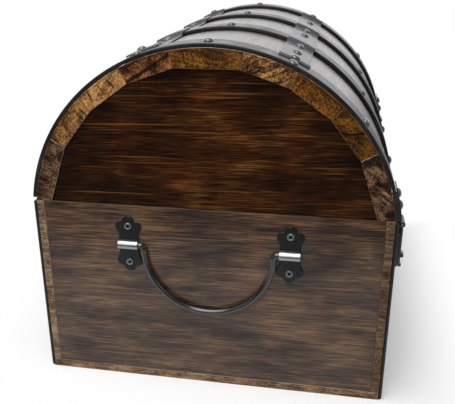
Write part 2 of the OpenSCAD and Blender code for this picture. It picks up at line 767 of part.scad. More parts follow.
long_board(-1);  // front_board
long_board(1);  // back_board
bottom_board();
box_end_panel(-1);  // left_end_panel
box_end_panel(1);  // right_end_panel
stave(1);  // stave_1
stave(2);  // stave_2
stave(3);  // stave_3
stave(4);  // stave_4
stave(5);  // stave_5
stave(6);  // stave_6
stave(7);  // stave_7
stave(8);  // stave_8
stave(9);  // stave_9
lid_end_panel(-1);  // lid_left_end_panel
lid_end_panel(1);  // lid_right_end_panel
lid_band(1);  // lid_band_1
lid_band(2);  // lid_band_2
lid_band(3);  // lid_band_3
lid_band(band_count);  // lid_band_4
dome_strap(ridge_front_deg);  // front_dome_strap
dome_strap(ridge_back_deg);  // back_dome_strap
box_strap(-1, 1);  // front_strap_1
box_strap(-1, 2);  // front_strap_2
box_strap(-1, 3);  // front_strap_3
box_strap(-1, band_count);  // front_strap_4
box_strap(1, 1);  // back_strap_1
box_strap(1, 2);  // back_strap_2
box_strap(1, 3);  // back_strap_3
box_strap(1, band_count);  // back_strap_4
hinge_box_leaf(-bay_x);  // left_hinge_box_leaf
hinge_lid_leaf(-bay_x);  // left_hinge_lid_leaf
hinge_pin(-bay_x);  // left_hinge_pin
hinge_box_leaf(bay_x);  // right_hinge_box_leaf
hinge_lid_leaf(bay_x);  // right_hinge_lid_leaf
hinge_pin(bay_x);  // right_hinge_pin
hasp_leaf(-hasp_x);  // left_hasp_leaf
hasp_tongue(-hasp_x);  // left_hasp_tongue
hasp_pin(-hasp_x);  // left_hasp_pin
keeper_plate(-hasp_x);  // left_keeper_plate
turn_knob(-hasp_x);  // left_turn_knob
hasp_leaf(hasp_x);  // right_hasp_leaf
hasp_tongue(hasp_x);  // right_hasp_tongue
hasp_pin(hasp_x);  // right_hasp_pin
keeper_plate(hasp_x);  // right_keeper_plate
turn_knob(hasp_x);  // right_turn_knob
bail(-1);  // left_bail
handle_plate(-1, -plate_y);  // left_front_handle_plate
handle_plate(-1, plate_y);  // left_back_handle_plate
bail(1);  // right_bail
handle_plate(1, -plate_y);  // right_front_handle_plate
handle_plate(1, plate_y);  // right_back_handle_plate
lid_band_nails();
dome_strap_nails();
box_strap_nails();
hasp_nails();
keeper_rivets();
hinge_lid_nails();
hinge_box_nails();
handle_screws();
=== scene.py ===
"""Looks of the treasure chest: stained wood, lacquered iron, domed nails and soft studio light."""
import json
import math

import bpy
import numpy as np
from mathutils import Matrix, Vector


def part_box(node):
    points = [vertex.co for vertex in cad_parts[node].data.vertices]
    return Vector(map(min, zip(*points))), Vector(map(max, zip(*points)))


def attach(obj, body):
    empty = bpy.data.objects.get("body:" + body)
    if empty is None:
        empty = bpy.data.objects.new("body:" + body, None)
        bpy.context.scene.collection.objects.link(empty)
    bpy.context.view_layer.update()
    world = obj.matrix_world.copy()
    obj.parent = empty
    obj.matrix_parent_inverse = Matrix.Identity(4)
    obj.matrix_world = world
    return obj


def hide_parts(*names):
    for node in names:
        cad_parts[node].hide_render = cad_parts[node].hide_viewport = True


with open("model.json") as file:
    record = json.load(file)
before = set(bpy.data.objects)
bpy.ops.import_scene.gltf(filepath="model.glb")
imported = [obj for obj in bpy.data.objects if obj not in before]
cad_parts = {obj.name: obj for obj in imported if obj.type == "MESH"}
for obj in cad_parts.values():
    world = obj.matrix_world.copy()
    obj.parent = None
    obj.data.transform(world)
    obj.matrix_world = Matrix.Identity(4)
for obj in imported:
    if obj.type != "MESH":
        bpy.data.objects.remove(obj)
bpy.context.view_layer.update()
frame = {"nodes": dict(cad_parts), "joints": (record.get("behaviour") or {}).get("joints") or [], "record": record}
scene = bpy.context.scene
link = scene.collection.objects.link

# Sizes in metres, read from the frame where a node gives them
MM = 0.001
FLAT = 0.05 * MM  # flat ring beside an eased edge
SEAT = 0.25 * MM  # room under iron bent to the dome
EASE = 0.35 * MM  # eased edges of hasps and knuckles


def span(node, axis):
    """Lowest and highest place of a node along one axis."""
    low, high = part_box(node)
    return low[axis], high[axis]


def extent(node, axis):
    """A node's size along one axis."""
    low, high = span(node, axis)
    return high - low


def middle(node, axis):
    """A node's middle along one axis."""
    return sum(span(node, axis)) / 2


X, Y, Z = 0, 1, 2
CHEST_X = span("bottom_board", X)[1]
CHEST_Y = span("bottom_board", Y)[1]
BOTTOM_T = span("bottom_board", Z)[1]
SEAM_Z = span("front_board", Z)[1]
BOARD_T = extent("back_board", Y)
END_T = extent("right_end_panel", X)
LID_END_X = span("lid_right_end_panel", X)
TOP_Z = span("stave_5", Z)[1]
RISE = TOP_Z - SEAM_Z
DOME_R = (CHEST_Y ** 2 + RISE ** 2) / (2 * RISE)
DOME_Z = TOP_Z - DOME_R
JOINTS = [29.5, 46, 62.5, 79, 101, 117.5, 134, 150.5]
INNER_R = ((span("lid_right_end_panel", Z)[1] - DOME_Z)
           / math.cos(math.radians((JOINTS[4] - JOINTS[3]) / 2)))
BAND_W = extent("lid_band_2", X)
BAND_OUT_R = span("lid_band_2", Z)[1] - DOME_Z
ON_DOME_R, ON_BAND_R = DOME_R + SEAT, BAND_OUT_R + SEAT
BAND_X = [middle(f"lid_band_{i}", X) for i in range(1, 5)]
STRAP_T = -span("front_strap_2", Y)[0] - CHEST_Y
STRAP_Z = span("front_strap_2", Z)
STRAP_FOOT = 2.5 * MM
RIDGE_T = 1.5 * MM
RIDGE_W = 27 * MM
RIDGE_DEGS = (69, 115)
RIDGE_END = span("front_dome_strap", X)[1]
RIDGE_MARGIN = 4 * MM
NAIL_D, NAIL_H = 8 * MM, 2.4 * MM
FLAT_NAIL_D, FLAT_NAIL_H = 7 * MM, 1.2 * MM
LEAF_NAIL_D, LEAF_NAIL_H = 5 * MM, 1 * MM
SHANK_R, LID_SHANK, BOX_SHANK = 1 * MM, 9 * MM, 5 * MM
PLATE_W, PLATE_T, LOBE_R, LOBE_STEP = 23.5 * MM, 1.6 * MM, 5.5 * MM, 5 * MM
PLATE_H = extent("left_front_handle_plate", Z)
HANDLE_Z = middle("left_front_handle_plate", Z)
PLATE_Y = middle("left_back_handle_plate", Y)
ROD_R = extent("left_bail", X) / 2
ROD_OFF = -CHEST_X - middle("left_bail", X)
LOOP_W, LOOP_IN_R, LOOP_WALL = 18 * MM, ROD_R + 0.05 * MM, 1.5 * MM
SCREW_Z, SCREW_D, SCREW_H = PLATE_H / 2 - LOBE_R - 3.8 * MM, 6.8 * MM, 1.5 * MM
STRAP_NAIL_IN = 16 * MM
BAIL_BEND_R = 4 * MM
BAIL_PIN_END = span("left_bail", Y)[1]
BAIL_R = BAIL_PIN_END - LOOP_W - 1 * MM - BAIL_BEND_R
JOINT_AT = {j["name"]: j["pos_m"] for j in frame["joints"]}
HASP_X, HASP_Y, HASP_Z = JOINT_AT["right_tongue_hinge"]
KNOB_Z = JOINT_AT["right_knob_turn"][2]
HASP_W, HASP_MID_W, HASP_LEAF_T, HASP_PIN_R = 18 * MM, 8 * MM, 1.2 * MM, 1 * MM
HASP_KNUCKLE_R = -HASP_Y - CHEST_Y - STRAP_T - 0.4 * MM
HASP_LEAF_TOP = span("right_hasp_leaf", Z)[1]
HASP_NAIL_Z = [HASP_LEAF_TOP - 17.5 * MM, HASP_LEAF_TOP - 7.2 * MM]
KEEPER_T = -span("right_keeper_plate", Y)[0] - CHEST_Y - STRAP_T
TONGUE_BACK = CHEST_Y + STRAP_T + KEEPER_T + 0.3 * MM
TONGUE_T, TONGUE_LOW = 1.8 * MM, span("right_hasp_tongue", Z)[0]
KNOB_LEN, KNOB_W, KNOB_T = 8.4 * MM, 4 * MM, 2.4 * MM
HINGE_Y = JOINT_AT["lid_hinge"][1]
HINGE_X = (BAND_X[2] + BAND_X[3]) / 2
HINGE_W, HINGE_MID_W, HINGE_LEAF_T, HINGE_LEAF_H = 45 * MM, 17 * MM, 1.5 * MM, 24 * MM
HINGE_KNUCKLE_R, HINGE_PIN_R, MOVE_GAP = HINGE_Y - CHEST_Y - 0.3 * MM, 1.5 * MM, 0.3 * MM
HINGE_NAIL_RISE = 0.62 * HINGE_LEAF_H
HINGE_NAIL_X = [s * HINGE_X + t * (HINGE_W / 2 - 7 * MM) for s in (-1, 1) for t in (-1, 1)]
SIDES = (("left", -1), ("right", 1))


# Meshes

def unit(v):
    """Vectors scaled to length one."""
    return v / np.maximum(np.linalg.norm(v, axis=-1, keepdims=True), 1e-12)


def degrees_at(z, r):
    """Angle from the back at which a circle of radius r about the dome's axis is at height z."""
    return math.degrees(math.asin((z - DOME_Z) / r))


def on_dome(x, r, deg):
    """Points at distance r from the dome's axis, at an angle from the back, and at x along it."""
    t = np.radians(deg)
    return np.stack(np.broadcast_arrays(x, r * np.cos(t), DOME_Z + r * np.sin(t)), axis=-1)


def grid_faces(rows, columns, close_rows=False):
    """Quads between neighbours on a grid of points, whose rows are closed rings."""
    a = np.arange(rows if close_rows else rows - 1)
    i, j = np.meshgrid(a, np.arange(columns), indexing="ij")
    i2, j2 = (i + 1) % rows, (j + 1) % columns
    quads = np.stack([i * columns + j, i * columns + j2, i2 * columns + j2, i2 * columns + j], -1)
    return quads.reshape(-1, 4)


def tube_mesh(points):
    """A closed skin over rows of rings: quads along it, and one face over each end."""
    rows, columns = points.shape[:2]
    first = np.arange(columns)[::-1]
    last = np.arange(columns) + (rows - 1) * columns
    faces = grid_faces(rows, columns).tolist() + [first.tolist(), last.tolist()]
    return points.reshape(-1, 3), faces


def all_round(n):
    """n angles once round."""
    return np.linspace(0, 2 * math.pi, n, endpoint=False)


def circle(r, t, u=0.0, v=0.0):
    """Points at angles t on a circle of radius r about (u, v)."""
    return np.stack([u + r * np.cos(t), v + r * np.sin(t)], -1)


def rounded_rect(width, height, radius, steps=4):
    """Outline of a rectangle whose corners are quarter circles, anticlockwise from lower right."""
    t = np.linspace(0, math.pi / 2, steps + 1)
    arcs = []
    for k, (sx, sy) in enumerate([(1, -1), (1, 1), (-1, 1), (-1, -1)]):
        a = t + (k - 1) * math.pi / 2
        arcs.append(circle(radius, a, sx * (width / 2 - radius), sy * (height / 2 - radius)))
    return np.concatenate(arcs)


def inset(outline, distance):
    """The outline moved inwards along its corners' mitred normals."""
    ahead = unit(np.roll(outline, -1, 0) - outline)
    behind = unit(outline - np.roll(outline, 1, 0))
    turn = unit(ahead + behind)
    inwards = np.stack([-turn[:, 1], turn[:, 0]], -1)
    square = np.maximum((turn * ahead).sum(-1, keepdims=True), 0.5)
    return outline + inwards * distance / square


def ring(outline, w):
    """An outline (u, v) as points (u, v, w)."""
    return np.column_stack([outline, np.full(len(outline), w)])


def eased_rings(outline, low, high, insets, depths):
    """Rings from low to high: from each end in, the outline inset by insets at depths."""
    pairs = [*zip(insets, low + depths), *zip(insets[::-1], high - depths[::-1])]
    return [ring(inset(outline, i), w) for i, w in pairs]


def slab(outline, low, high, edge=0.6 * MM, steps=3, turn=None):
    """An outline (u, v) carried along w from low to high, its end edges quarter rounds:
    ring k lies edge * (1 - cos t) in from the end, inset by edge * (1 - sin t). A narrow flat
    ring on each side of a round keeps its slope out of the shading of the wide faces."""
    t = np.linspace(0, math.pi / 2, steps + 1)
    insets = np.concatenate([[edge + FLAT], edge * (1 - np.sin(t)), [0]])
    depths = np.concatenate([[0], edge * (1 - np.cos(t)), [edge + FLAT]])
    points, faces = tube_mesh(np.array(eased_rings(outline, low, high, insets, depths)))
    return (points if turn is None else turn(points)), faces


def bar(outline, x0, x1, edge=0.6 * MM):
    """A slab along X, its outline in (y, z)."""
    return slab(outline, x0, x1, edge, turn=lambda points: points[:, [2, 0, 1]])


def resample(outline, step):
    """The outline with points added so that none lies further than step from the next."""
    out = []
    for a, b in zip(outline, np.roll(outline, -1, 0)):
        n = max(1, int(np.linalg.norm(b - a) / step))
        out.append(a + (b - a) * np.linspace(0, 1, n, endpoint=False)[:, None])
    return np.concatenate(out)


def round_corners(corners, radius, steps=3, flat=0.0):
    """A polygon, anticlockwise, with each corner cut to a short curve that starts radius from it:
    the quadratic Bezier from one side to the next. radius is one length or one for each corner.
    With flat, a point that far beyond each curve's ends keeps the sides' shading level."""
    corners = np.array(corners, float)
    radius = np.broadcast_to(radius, len(corners))[:, None]
    before, after = np.roll(corners, 1, 0), np.roll(corners, -1, 0)
    a, b = unit(before - corners), unit(after - corners)
    s = np.linspace(0, 1, steps + 1)[None, :, None]
    p, q = (corners + radius * a)[:, None], (corners + radius * b)[:, None]
    c = corners[:, None]
    curve = (1 - s) ** 2 * p + 2 * s * (1 - s) * c + s ** 2 * q
    if flat:
        curve = np.concatenate([p + flat * a[:, None], curve, q + flat * b[:, None]], axis=1)
    return curve.reshape(-1, 2)


def rect(u0, u1, v0, v1, radius, steps=3, flat=0.0):
    """A rectangle between two places each way, its corners rounded."""
    return round_corners([(u0, v0), (u1, v0), (u1, v1), (u0, v1)], radius, steps, flat)


def turned(profile, turns=28):
    """A closed turned piece: the profile (radius, height along w) runs from the axis at the foot
    to the axis at the top."""
    profile = np.array(profile, float)
    t = all_round(turns)
    r, h = profile[1:-1, :1], profile[1:-1, 1:]
    rows = np.stack([r * np.cos(t), r * np.sin(t), h + 0 * t], -1)
    low, high = ([[0, 0, profile[end, 1]]] for end in (0, -1))
    n, m = rows.shape[:2]
    faces = grid_faces(n, m).tolist()
    j = np.arange(m)
    faces += np.stack([np.full(m, n * m), (j + 1) % m, j], -1).tolist()
    last = (n - 1) * m
    faces += np.stack([np.full(m, n * m + 1), last + j, last + (j + 1) % m], -1).tolist()
    return np.concatenate([rows.reshape(-1, 3), low, high]), faces


def nail(head_d, head_h, shank):
    """A round shank under a domed head: radius d/2 * cos t, height h * sin t."""
    t = np.linspace(0, math.pi / 2, 9)
    dome = np.stack([head_d / 2 * np.cos(t), head_h * (0.06 + 0.94 * np.sin(t))], -1)
    foot = [(0, -shank), (SHANK_R, -shank), (SHANK_R, 0), (head_d / 2 * 0.97, 0)]
    return turned(np.concatenate([foot, dome]))


def join(parts):
    """Several (points, faces) as one."""
    points, faces, start = [], [], 0
    for p, f in parts:
        points.append(p)
        faces += [[i + start for i in face] for face in f]
        start += len(p)
    return np.concatenate(points), faces


def place(part, origin, out, side=(1, 0, 0)):
    """A (points, faces) carried to origin, its third axis along out and its first along side."""
    points, faces = part
    w, u = unit(np.array(out, float)), unit(np.array(side, float))
    return points @ np.array([u, np.cross(w, u), w]) + origin, faces


def add(name, parts, material, body, *nodes, angle=40):
    """A new piece from (points, faces), smooth up to an angle, riding on a body in place of nodes."""
    points, faces = parts
    mesh = bpy.data.meshes.new(name)
    mesh.from_pydata(points.tolist(), [], faces)
    mesh.validate()
    mesh.shade_smooth()
    mesh.set_sharp_from_angle(angle=math.radians(angle))
    mesh.update()
    piece = bpy.data.objects.new(name, mesh)
    link(piece)
    for m in (material if isinstance(material, (list, tuple)) else [material]):
        mesh.materials.append(m)
    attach(piece, body)
    if nodes:
        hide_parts(*nodes)
    return piece


def face_rows(mesh, what):
    """The normal or the middle of every face, as rows."""
    values = np.zeros(len(mesh.polygons) * 3)
    mesh.polygons.foreach_get(what, values)
    return values.reshape(-1, 3)


def set_materials(mesh, index):
    """Gives every face the material at its index."""
    mesh.polygons.foreach_set("material_index", index.astype(np.int32))
    mesh.update()


def end_faces(piece, limit=0.9, edge=0.25):
    """Gives the second material to the faces that look along X, as end grain, and the last one
    to the eased edges round them."""
    along = np.abs(face_rows(piece.data, "normal")[:, X])
    last = len(piece.data.materials) - 1
    set_materials(piece.data, np.where(along > limit, 1, np.where(along > edge, last, 0)))


slots = {s["node"]: s["material_slot"] for s in frame["record"]["subparts"]}


# Shader expressions

class Socket:
    """A shader socket that takes part in Python expressions."""

    def __init__(self, tree, socket):
        self.tree = tree
        self.socket = socket

    def node(self, kind, settings=None, output=0, **inputs):
        return make_node(self.tree, kind, settings, output, **inputs)

    def maths(self, operation, other, first=None):
        """A Math node on this socket and another; first takes this one's place, reflected."""
        a, b = (self, other) if first is None else (first, self)
        return self.node("Math", {"operation": operation}, _0=a, _1=b)

    def __add__(self, other):
        return self.maths("ADD", other)

    def __sub__(self, other):
        return self.maths("SUBTRACT", other)

    def __rsub__(self, other):
        return self.maths("SUBTRACT", None, first=other)

    def __mul__(self, other):
        return self.maths("MULTIPLY", other)

    __radd__ = __add__
    __rmul__ = __mul__

    def vector(self, operation, *others, output=0):
        """A Vector Math node on this socket and others."""
        inputs = {f"_{i}": value for i, value in enumerate((self, *others))}
        return self.node("VectorMath", {"operation": operation}, output, **inputs)

    def part(self, axis):
        """One part of a vector."""
        return self.node("SeparateXYZ", None, axis, Vector=self)

    def turned(self, degrees):
        """Coordinates turned about X."""
        return self.node("VectorRotate", {"rotation_type": "X_AXIS"}, Vector=self,
                         Angle=math.radians(degrees))

    def squeezed(self, axis, factor):
        """Coordinates scaled along one axis, which draws a texture out along it."""
        scale = [1.0, 1.0, 1.0]
        scale[axis] = factor
        return self.node("Mapping", Vector=self, Scale=tuple(scale))

    def ramp(self, low, high, out_low=0.0, out_high=1.0):
        """Runs smoothly from out_low to out_high as the value goes from low to high."""
        return self.node("MapRange", {"interpolation_type": "SMOOTHSTEP"}, Value=self,
                         From_Min=low, From_Max=high, To_Min=out_low, To_Max=out_high)

    def colours(self, *stops):
        """A colour ramp with stops (place, colour)."""
        return self.node("ValToRGB", {"stops": stops}, Fac=self)


def make_node(tree, kind, settings=None, output=0, **inputs):
    """A shader node of any kind: its settings are set first, then the values or links of its sockets.
    An input named _0 is the first socket, and an underscore in a name stands for a space."""
    made = tree.nodes.new(f"ShaderNode{kind}")
    for key, value in (settings or {}).items():
        if key == "stops":
            ramp = made.color_ramp
            while len(ramp.elements) < len(value):
                ramp.elements.new(0.5)
            for element, (place_at, colour) in zip(ramp.elements, value):
                element.position = place_at
                element.color = (*colour, 1)
        else:
            setattr(made, key, value)
    for key, value in inputs.items():
        name = int(key[1:]) if key[1:].isdigit() else key.replace("_", " ")
        socket = made.inputs[name]
        if isinstance(value, Socket):
            tree.links.new(value.socket, socket)
        elif socket.type == "RGBA":
            socket.default_value = (*value, 1)
        else:
            socket.default_value = value
    return Socket(tree, made.outputs[output])


def mix(a, b, factor, blend="MIX"):
    """Colour a towards colour b by a factor."""
    tree = next(v.tree for v in (a, b, factor) if isinstance(v, Socket))
    return make_node(tree, "Mix", {"data_type": "RGBA", "blend_type": blend}, 2, _0=factor, _6=a,
                     _7=b)


def surface(name, **constants):
    """A new material with a Principled shader; returns it, its tree and the shader's node."""
    material = bpy.data.materials.new(name)
    material.use_nodes = True
    tree = material.node_tree
    shader = tree.nodes["Principled BSDF"]
    for key, value in constants.items():
        shader.inputs[key.replace("_", " ")].default_value = value
    return material, tree, shader


def drive(tree, shader, **links):
    """Links sockets to the shader's varying inputs."""
    for key, value in links.items():
        tree.links.new(value.socket, shader.inputs[key.replace("_", " ")])


def srgb(r, g, b):
    """A colour seen as (r, g, b) out of 255, as linear light."""
    c = np.array([r, g, b]) / 255
    return tuple(float(v) for v in np.where(c < 0.04045, c / 12.92, ((c + 0.055) / 1.055) ** 2.4))


def object_coords(tree, scale=(1, 1, 1), offset=(0, 0, 0)):
    """Object coordinates, scaled and moved."""
    coords = make_node(tree, "TexCoord", None, "Object")
    return make_node(tree, "Mapping", Vector=coords, Location=offset, Scale=scale)


def noise(where, scale, detail=4.0, roughness=0.55, distortion=0.0):
    return where.node("TexNoise", None, "Fac", Vector=where, Scale=scale, Detail=detail,
                      Roughness=roughness, Distortion=distortion)


def bump(height, distance):
    return height.node("Bump", Height=height, Distance=distance, Strength=1.0)


def from_axis(at):
    """Distance from the dome's axis, for points on the ends."""
    return at.vector("MULTIPLY", (0, 1, 1)).vector("DISTANCE", (0, 0, DOME_Z), output="Value")


def stained_wood(name, grain, colours, seed=0.0, gloss=0.42, coat=0.0, shine=0.3, slope=0.0,
                 relief=1.0, coat_gloss=0.12, hues=0.0, painted_shade=0.0):
    """Stained, varnished wood. All its noises are drawn out along the grain axis: wide bands of
    tone, fibres about a millimetre thick, hair lines, and long dark and light lines. hues
    gives reddish and golden patches, and painted_shade darkens the lid's end towards the staves:
    painted shade standing for the shadow of the recess under them."""
    material, tree, shader = surface(name, Coat_Roughness=coat_gloss, Specular_IOR_Level=shine)
    plain = object_coords(tree, (1, 1, 1), (seed, seed * 1.7, seed * 0.6))
    tilted = plain.turned(slope)

    def along(squeeze):
        return tilted.squeezed(grain, squeeze)

    wide = noise(along(0.15), 110, 2, 0.5, 0.3)
    fibre = noise(along(0.03), 1250, 2, 0.6, 0.2)
    hair = noise(along(0.05), 2000, 2, 0.6)
    dark_lines = noise(along(0.035), 600, 3, 0.6, 0.3).ramp(0.58, 0.68)
    light_lines = noise(along(0.02), 420, 2, 0.5, 0.2).ramp(0.64, 0.70)
    patches = noise(plain, 18, 3, 0.5, 0.5)
    tone = fibre * 0.8 + hair * 0.3 + (wide - 0.5) * 0.4 + (patches - 0.5) * 0.5 - 0.05
    dark, plain_tone, light, glow = colours
    colour = tone.colours((0.34, dark), (0.47, plain_tone), (0.60, light), (0.78, glow))
    colour = mix(colour, tuple(0.3 * c for c in dark), dark_lines * 0.65)
    colour = mix(colour, glow, light_lines * 0.5)
    if hues:
        redder = noise(plain, 31, 2, 0.5, 0.6).ramp(0.5, 0.66)
        yellower = noise(along(0.4), 47, 2, 0.5, 0.6).ramp(0.52, 0.66)
        colour = mix(colour, (1.25, 0.86, 0.62), redder * hues, "MULTIPLY")
        colour = mix(colour, (1.3, 1.18, 0.8), yellower * hues, "MULTIPLY")
    if painted_shade:
        # painted shade: the lid's end darkened and cooled towards the staves, where the recess lies in shadow
        near = from_axis(object_coords(tree)).ramp(INNER_R - 26 * MM, INNER_R - 3 * MM)
        colour = mix(colour, (0.42, 0.46, 0.52), near * painted_shade, "MULTIPLY")
    drive(tree, shader, Base_Color=colour, Roughness=fibre.ramp(0.3, 0.7, gloss, gloss + 0.12),
          Coat_Weight=wide.ramp(0.3, 0.7, coat * 0.85, coat),
          Normal=bump(fibre * 0.6 + hair * 0.3 - dark_lines * 0.4, 0.1 * relief * MM))
    return material


def spot(at, y, z, turn, long, wide):
    """1 inside a long spot on an end, at (y, z) in millimetres and turned by degrees: the length
    of the place in the spot's own half axes, compared with 1."""
    local = at.node("Mapping", {"vector_type": "TEXTURE"}, Vector=at, Location=(0, y * MM, z * MM),
                    Rotation=(math.radians(turn), 0, 0), Scale=(1e3, long * MM, wide * MM))
    return local.vector("LENGTH", output="Value").ramp(0.55, 1.15, 1.0, 0.0)


def end_grain(name, colours, seed=0.0, turn=0.0, stripes=0.3, cracks=0.5, blotch=0.4, knots=(),
              glints=(), fade=0.0):
    """Sawn ends of the boards: speckled pores over soft blotches, growth rings seen as stripes
    across, thin dark cracks where a drawn-out noise crosses its middle value, dark knots and
    light glints at given places, and a darker outer edge."""
    material, tree, shader = surface(name, Specular_IOR_Level=0.1)
    plain = object_coords(tree)
    at = object_coords(tree, (0.1, 1, 1), (seed, seed * 2.3, seed * 1.1))
    tilted = at.turned(turn)
    speckle = noise(at, 760, 2, 0.8)
    pores = noise(at, 1100, 1, 0.5).ramp(0.60, 0.70)
    cloud = noise(at, 75, 3, 0.55, 0.8)
    rings = noise(tilted.squeezed(Z, 0.12), 400, 2, 0.6, 0.5)
    near_middle = (noise(tilted.squeezed(Z, 0.2), 60, 3, 0.6, 1.0) - 0.5).maths("ABSOLUTE", 0)
    crack = near_middle.ramp(0.004, 0.016, 1.0, 0.0)
    dark, plain_tone, light = colours
    tone = speckle * 0.8 + (cloud - 0.5) * blotch * 1.6 + (rings - 0.5) * stripes * 1.6 + 0.1
    colour = tone.colours((0.38, dark), (0.50, plain_tone), (0.63, light))
    deep = tuple(0.25 * c for c in dark)
    colour = mix(mix(colour, dark, pores * 0.6), deep, crack * cracks)
    waver = at.node("TexNoise", None, "Color", Vector=at, Scale=150.0)
    bent = waver.vector("MULTIPLY_ADD", (0, 4 * MM, 4 * MM), plain)
    bent = bent.vector("SUBTRACT", (0, 2 * MM, 2 * MM))
    for *place_at, strength in glints:
        colour = mix(colour, (2.2, 2.1, 2.0), spot(bent, *place_at) * strength, "MULTIPLY")
    for *place_at, strength in knots:
        colour = mix(colour, deep, spot(bent, *place_at) * strength)
    if fade:
        outer = from_axis(plain).ramp(DOME_R - 9 * MM, DOME_R, 0.0, fade)
        colour = mix(colour, dark, outer)
    drive(tree, shader, Base_Color=colour, Roughness=speckle.ramp(0.3, 0.7, 0.5, 0.7),
          Normal=bump(speckle - crack * 2 * cracks, 0.1 * MM))
    return material


def black_iron(name, base, rough, hammer_mm, dents, wear, coat, shine, peel_mm=0.036, metal=0.0,
               seed=0.0):
    """Lacquered black iron: shallow hammer dents, fine orange peel and worn, paler high spots."""
    material, tree, shader = surface(name, Coat_Roughness=0.1, Specular_IOR_Level=shine,
                                     Metallic=metal)
    at = object_coords(tree, (1, 1, 1), (seed, 0.2, seed))
    hammer = at.node("TexVoronoi", {"feature": "SMOOTH_F1"}, Vector=at, Scale=dents, Smoothness=0.7)
    peel = noise(at, 900, 2, 0.5)
    cloud = noise(at, 45, 4, 0.6)
    worn = (cloud * 0.6 + peel * 0.4).ramp(0.52, 0.66) * wear
    colour = mix(base, tuple(2.6 * c + 0.01 for c in base), worn)
    deep = 0.06
    drive(tree, shader, Base_Color=colour,
          Roughness=cloud.ramp(0.3, 0.7, rough - 0.06, rough + 0.08),
          Coat_Weight=cloud.ramp(0.3, 0.7, coat * 0.8, coat),
          Normal=bump(hammer * (hammer_mm / deep) + peel * (peel_mm / deep), deep * MM))
    return material


def tones(*colours):
    return tuple(srgb(*c) for c in colours)


PANEL = tones((15, 6, 2), (39, 18, 5), (61, 33, 12), (118, 76, 32))
BOX_PANEL = tones((20, 10, 6), (50, 34, 23), (80, 58, 41), (122, 93, 60))
BOARD = tones((26, 17, 12), (56, 37, 25), (88, 62, 42), (120, 88, 60))
OUTER = tones((22, 14, 9), (42, 28, 18), (58, 41, 27), (82, 61, 41))
# lighter tones for the eased edges of the boards and staves: a painted highlight, the light line that these edges
# catch
EDGE_HIGHLIGHT = tones((70, 46, 28), (112, 80, 50), (146, 112, 76), (170, 134, 96))
RUBBED = tones((34, 22, 14), (56, 40, 26), (76, 56, 38), (98, 74, 52))
STRIPS = {"bottom": tones((70, 49, 33), (112, 87, 66), (152, 124, 94)),
          "front": tones((52, 36, 24), (86, 66, 50), (122, 98, 74)),
          "back": tones((78, 58, 42), (122, 100, 80), (160, 136, 108))}
GOLDEN = tones((80, 50, 24), (140, 100, 54), (188, 146, 88))
HONEY = tones((46, 24, 8), (106, 71, 36), (168, 124, 72))
AMBER = tones((40, 19, 2), (90, 54, 14), (146, 98, 36))
OLIVE = tones((30, 15, 2), (68, 40, 6), (110, 72, 20))
RUSSET = tones((38, 16, 6), (88, 48, 24), (146, 96, 54))
DUSKY = tones((33, 19, 12), (76, 54, 39), (118, 90, 63))
STAVE_ENDS = [
    # colours, turn of the rings, how much they show, cracks, blotches, then knots and glints with
    # their place (y, z in mm), turn, half length, half width and strength, and the outer shade
    (DUSKY, 70, 0.45, 0.3, 0.5, (), (), 0.2),
    (HONEY, 40, 0.25, 0.2, 0.4, (), (), 0.3),
    (GOLDEN, -35, 0.25, 0.1, 0.2,
     [(97.3, 269.5, 61, 6, 1.1, 0.9), (79.5, 280.5, 52, 6, 1.0, 0.9), (88, 276, 56, 4, 0.6, 0.8)],
     [(100, 262, 60, 7, 1.2, 0.6)], 0.0),
    (RUSSET, 60, 0.25, 0.3, 0.4,
     [(52, 290.5, 148, 24, 2.0, 0.95), (60, 297, 150, 14, 1.2, 0.7), (33, 303, 140, 8, 1.6, 0.9)],
     [(29.5, 297, 103, 8, 0.6, 0.9)], 0.3),
    (AMBER, 80, 0.2, 0.2, 0.35,
     [(18, 303.5, 75, 7, 0.8, 0.8), (11, 304.5, 75, 7, 0.8, 0.7), (4, 307, 20, 6, 0.8, 0.6)],
     [(-28, 299, 70, 6, 0.6, 0.7)], 0.15),
    (HONEY, -60, 0.35, 0.9, 0.4,
     [(-61, 298, 55, 7, 0.8, 0.8), (-32.5, 297, 84, 6, 0.7, 0.8)],
     [(-55, 287.5, 20, 14, 0.7, 0.6)], 0.0),
    (AMBER, 35, 0.05, 0.1, 0.15, (), [(-72.5, 285, -60, 8, 0.7, 0.9)], 0.45),
    (OLIVE, 60, 0.15, 0.2, 0.35, [(-116, 247, 178, 12, 1.1, 1.0)],
     [(-108, 253, 10, 12, 6, 1.0)], 0.0),
    (DUSKY, 50, 0.4, 0.5, 0.6,
     [(-138.5, 206.5, 5, 5, 2.2, 0.95), (-145, 195, 31, 10, 1.0, 0.9),
      (-150, 180.5, 30, 4, 3.0, 0.9)],
     [(-145, 199, 34, 7, 0.9, 0.9), (-151, 185.5, 36, 5, 0.8, 0.9)], 0.0),
]


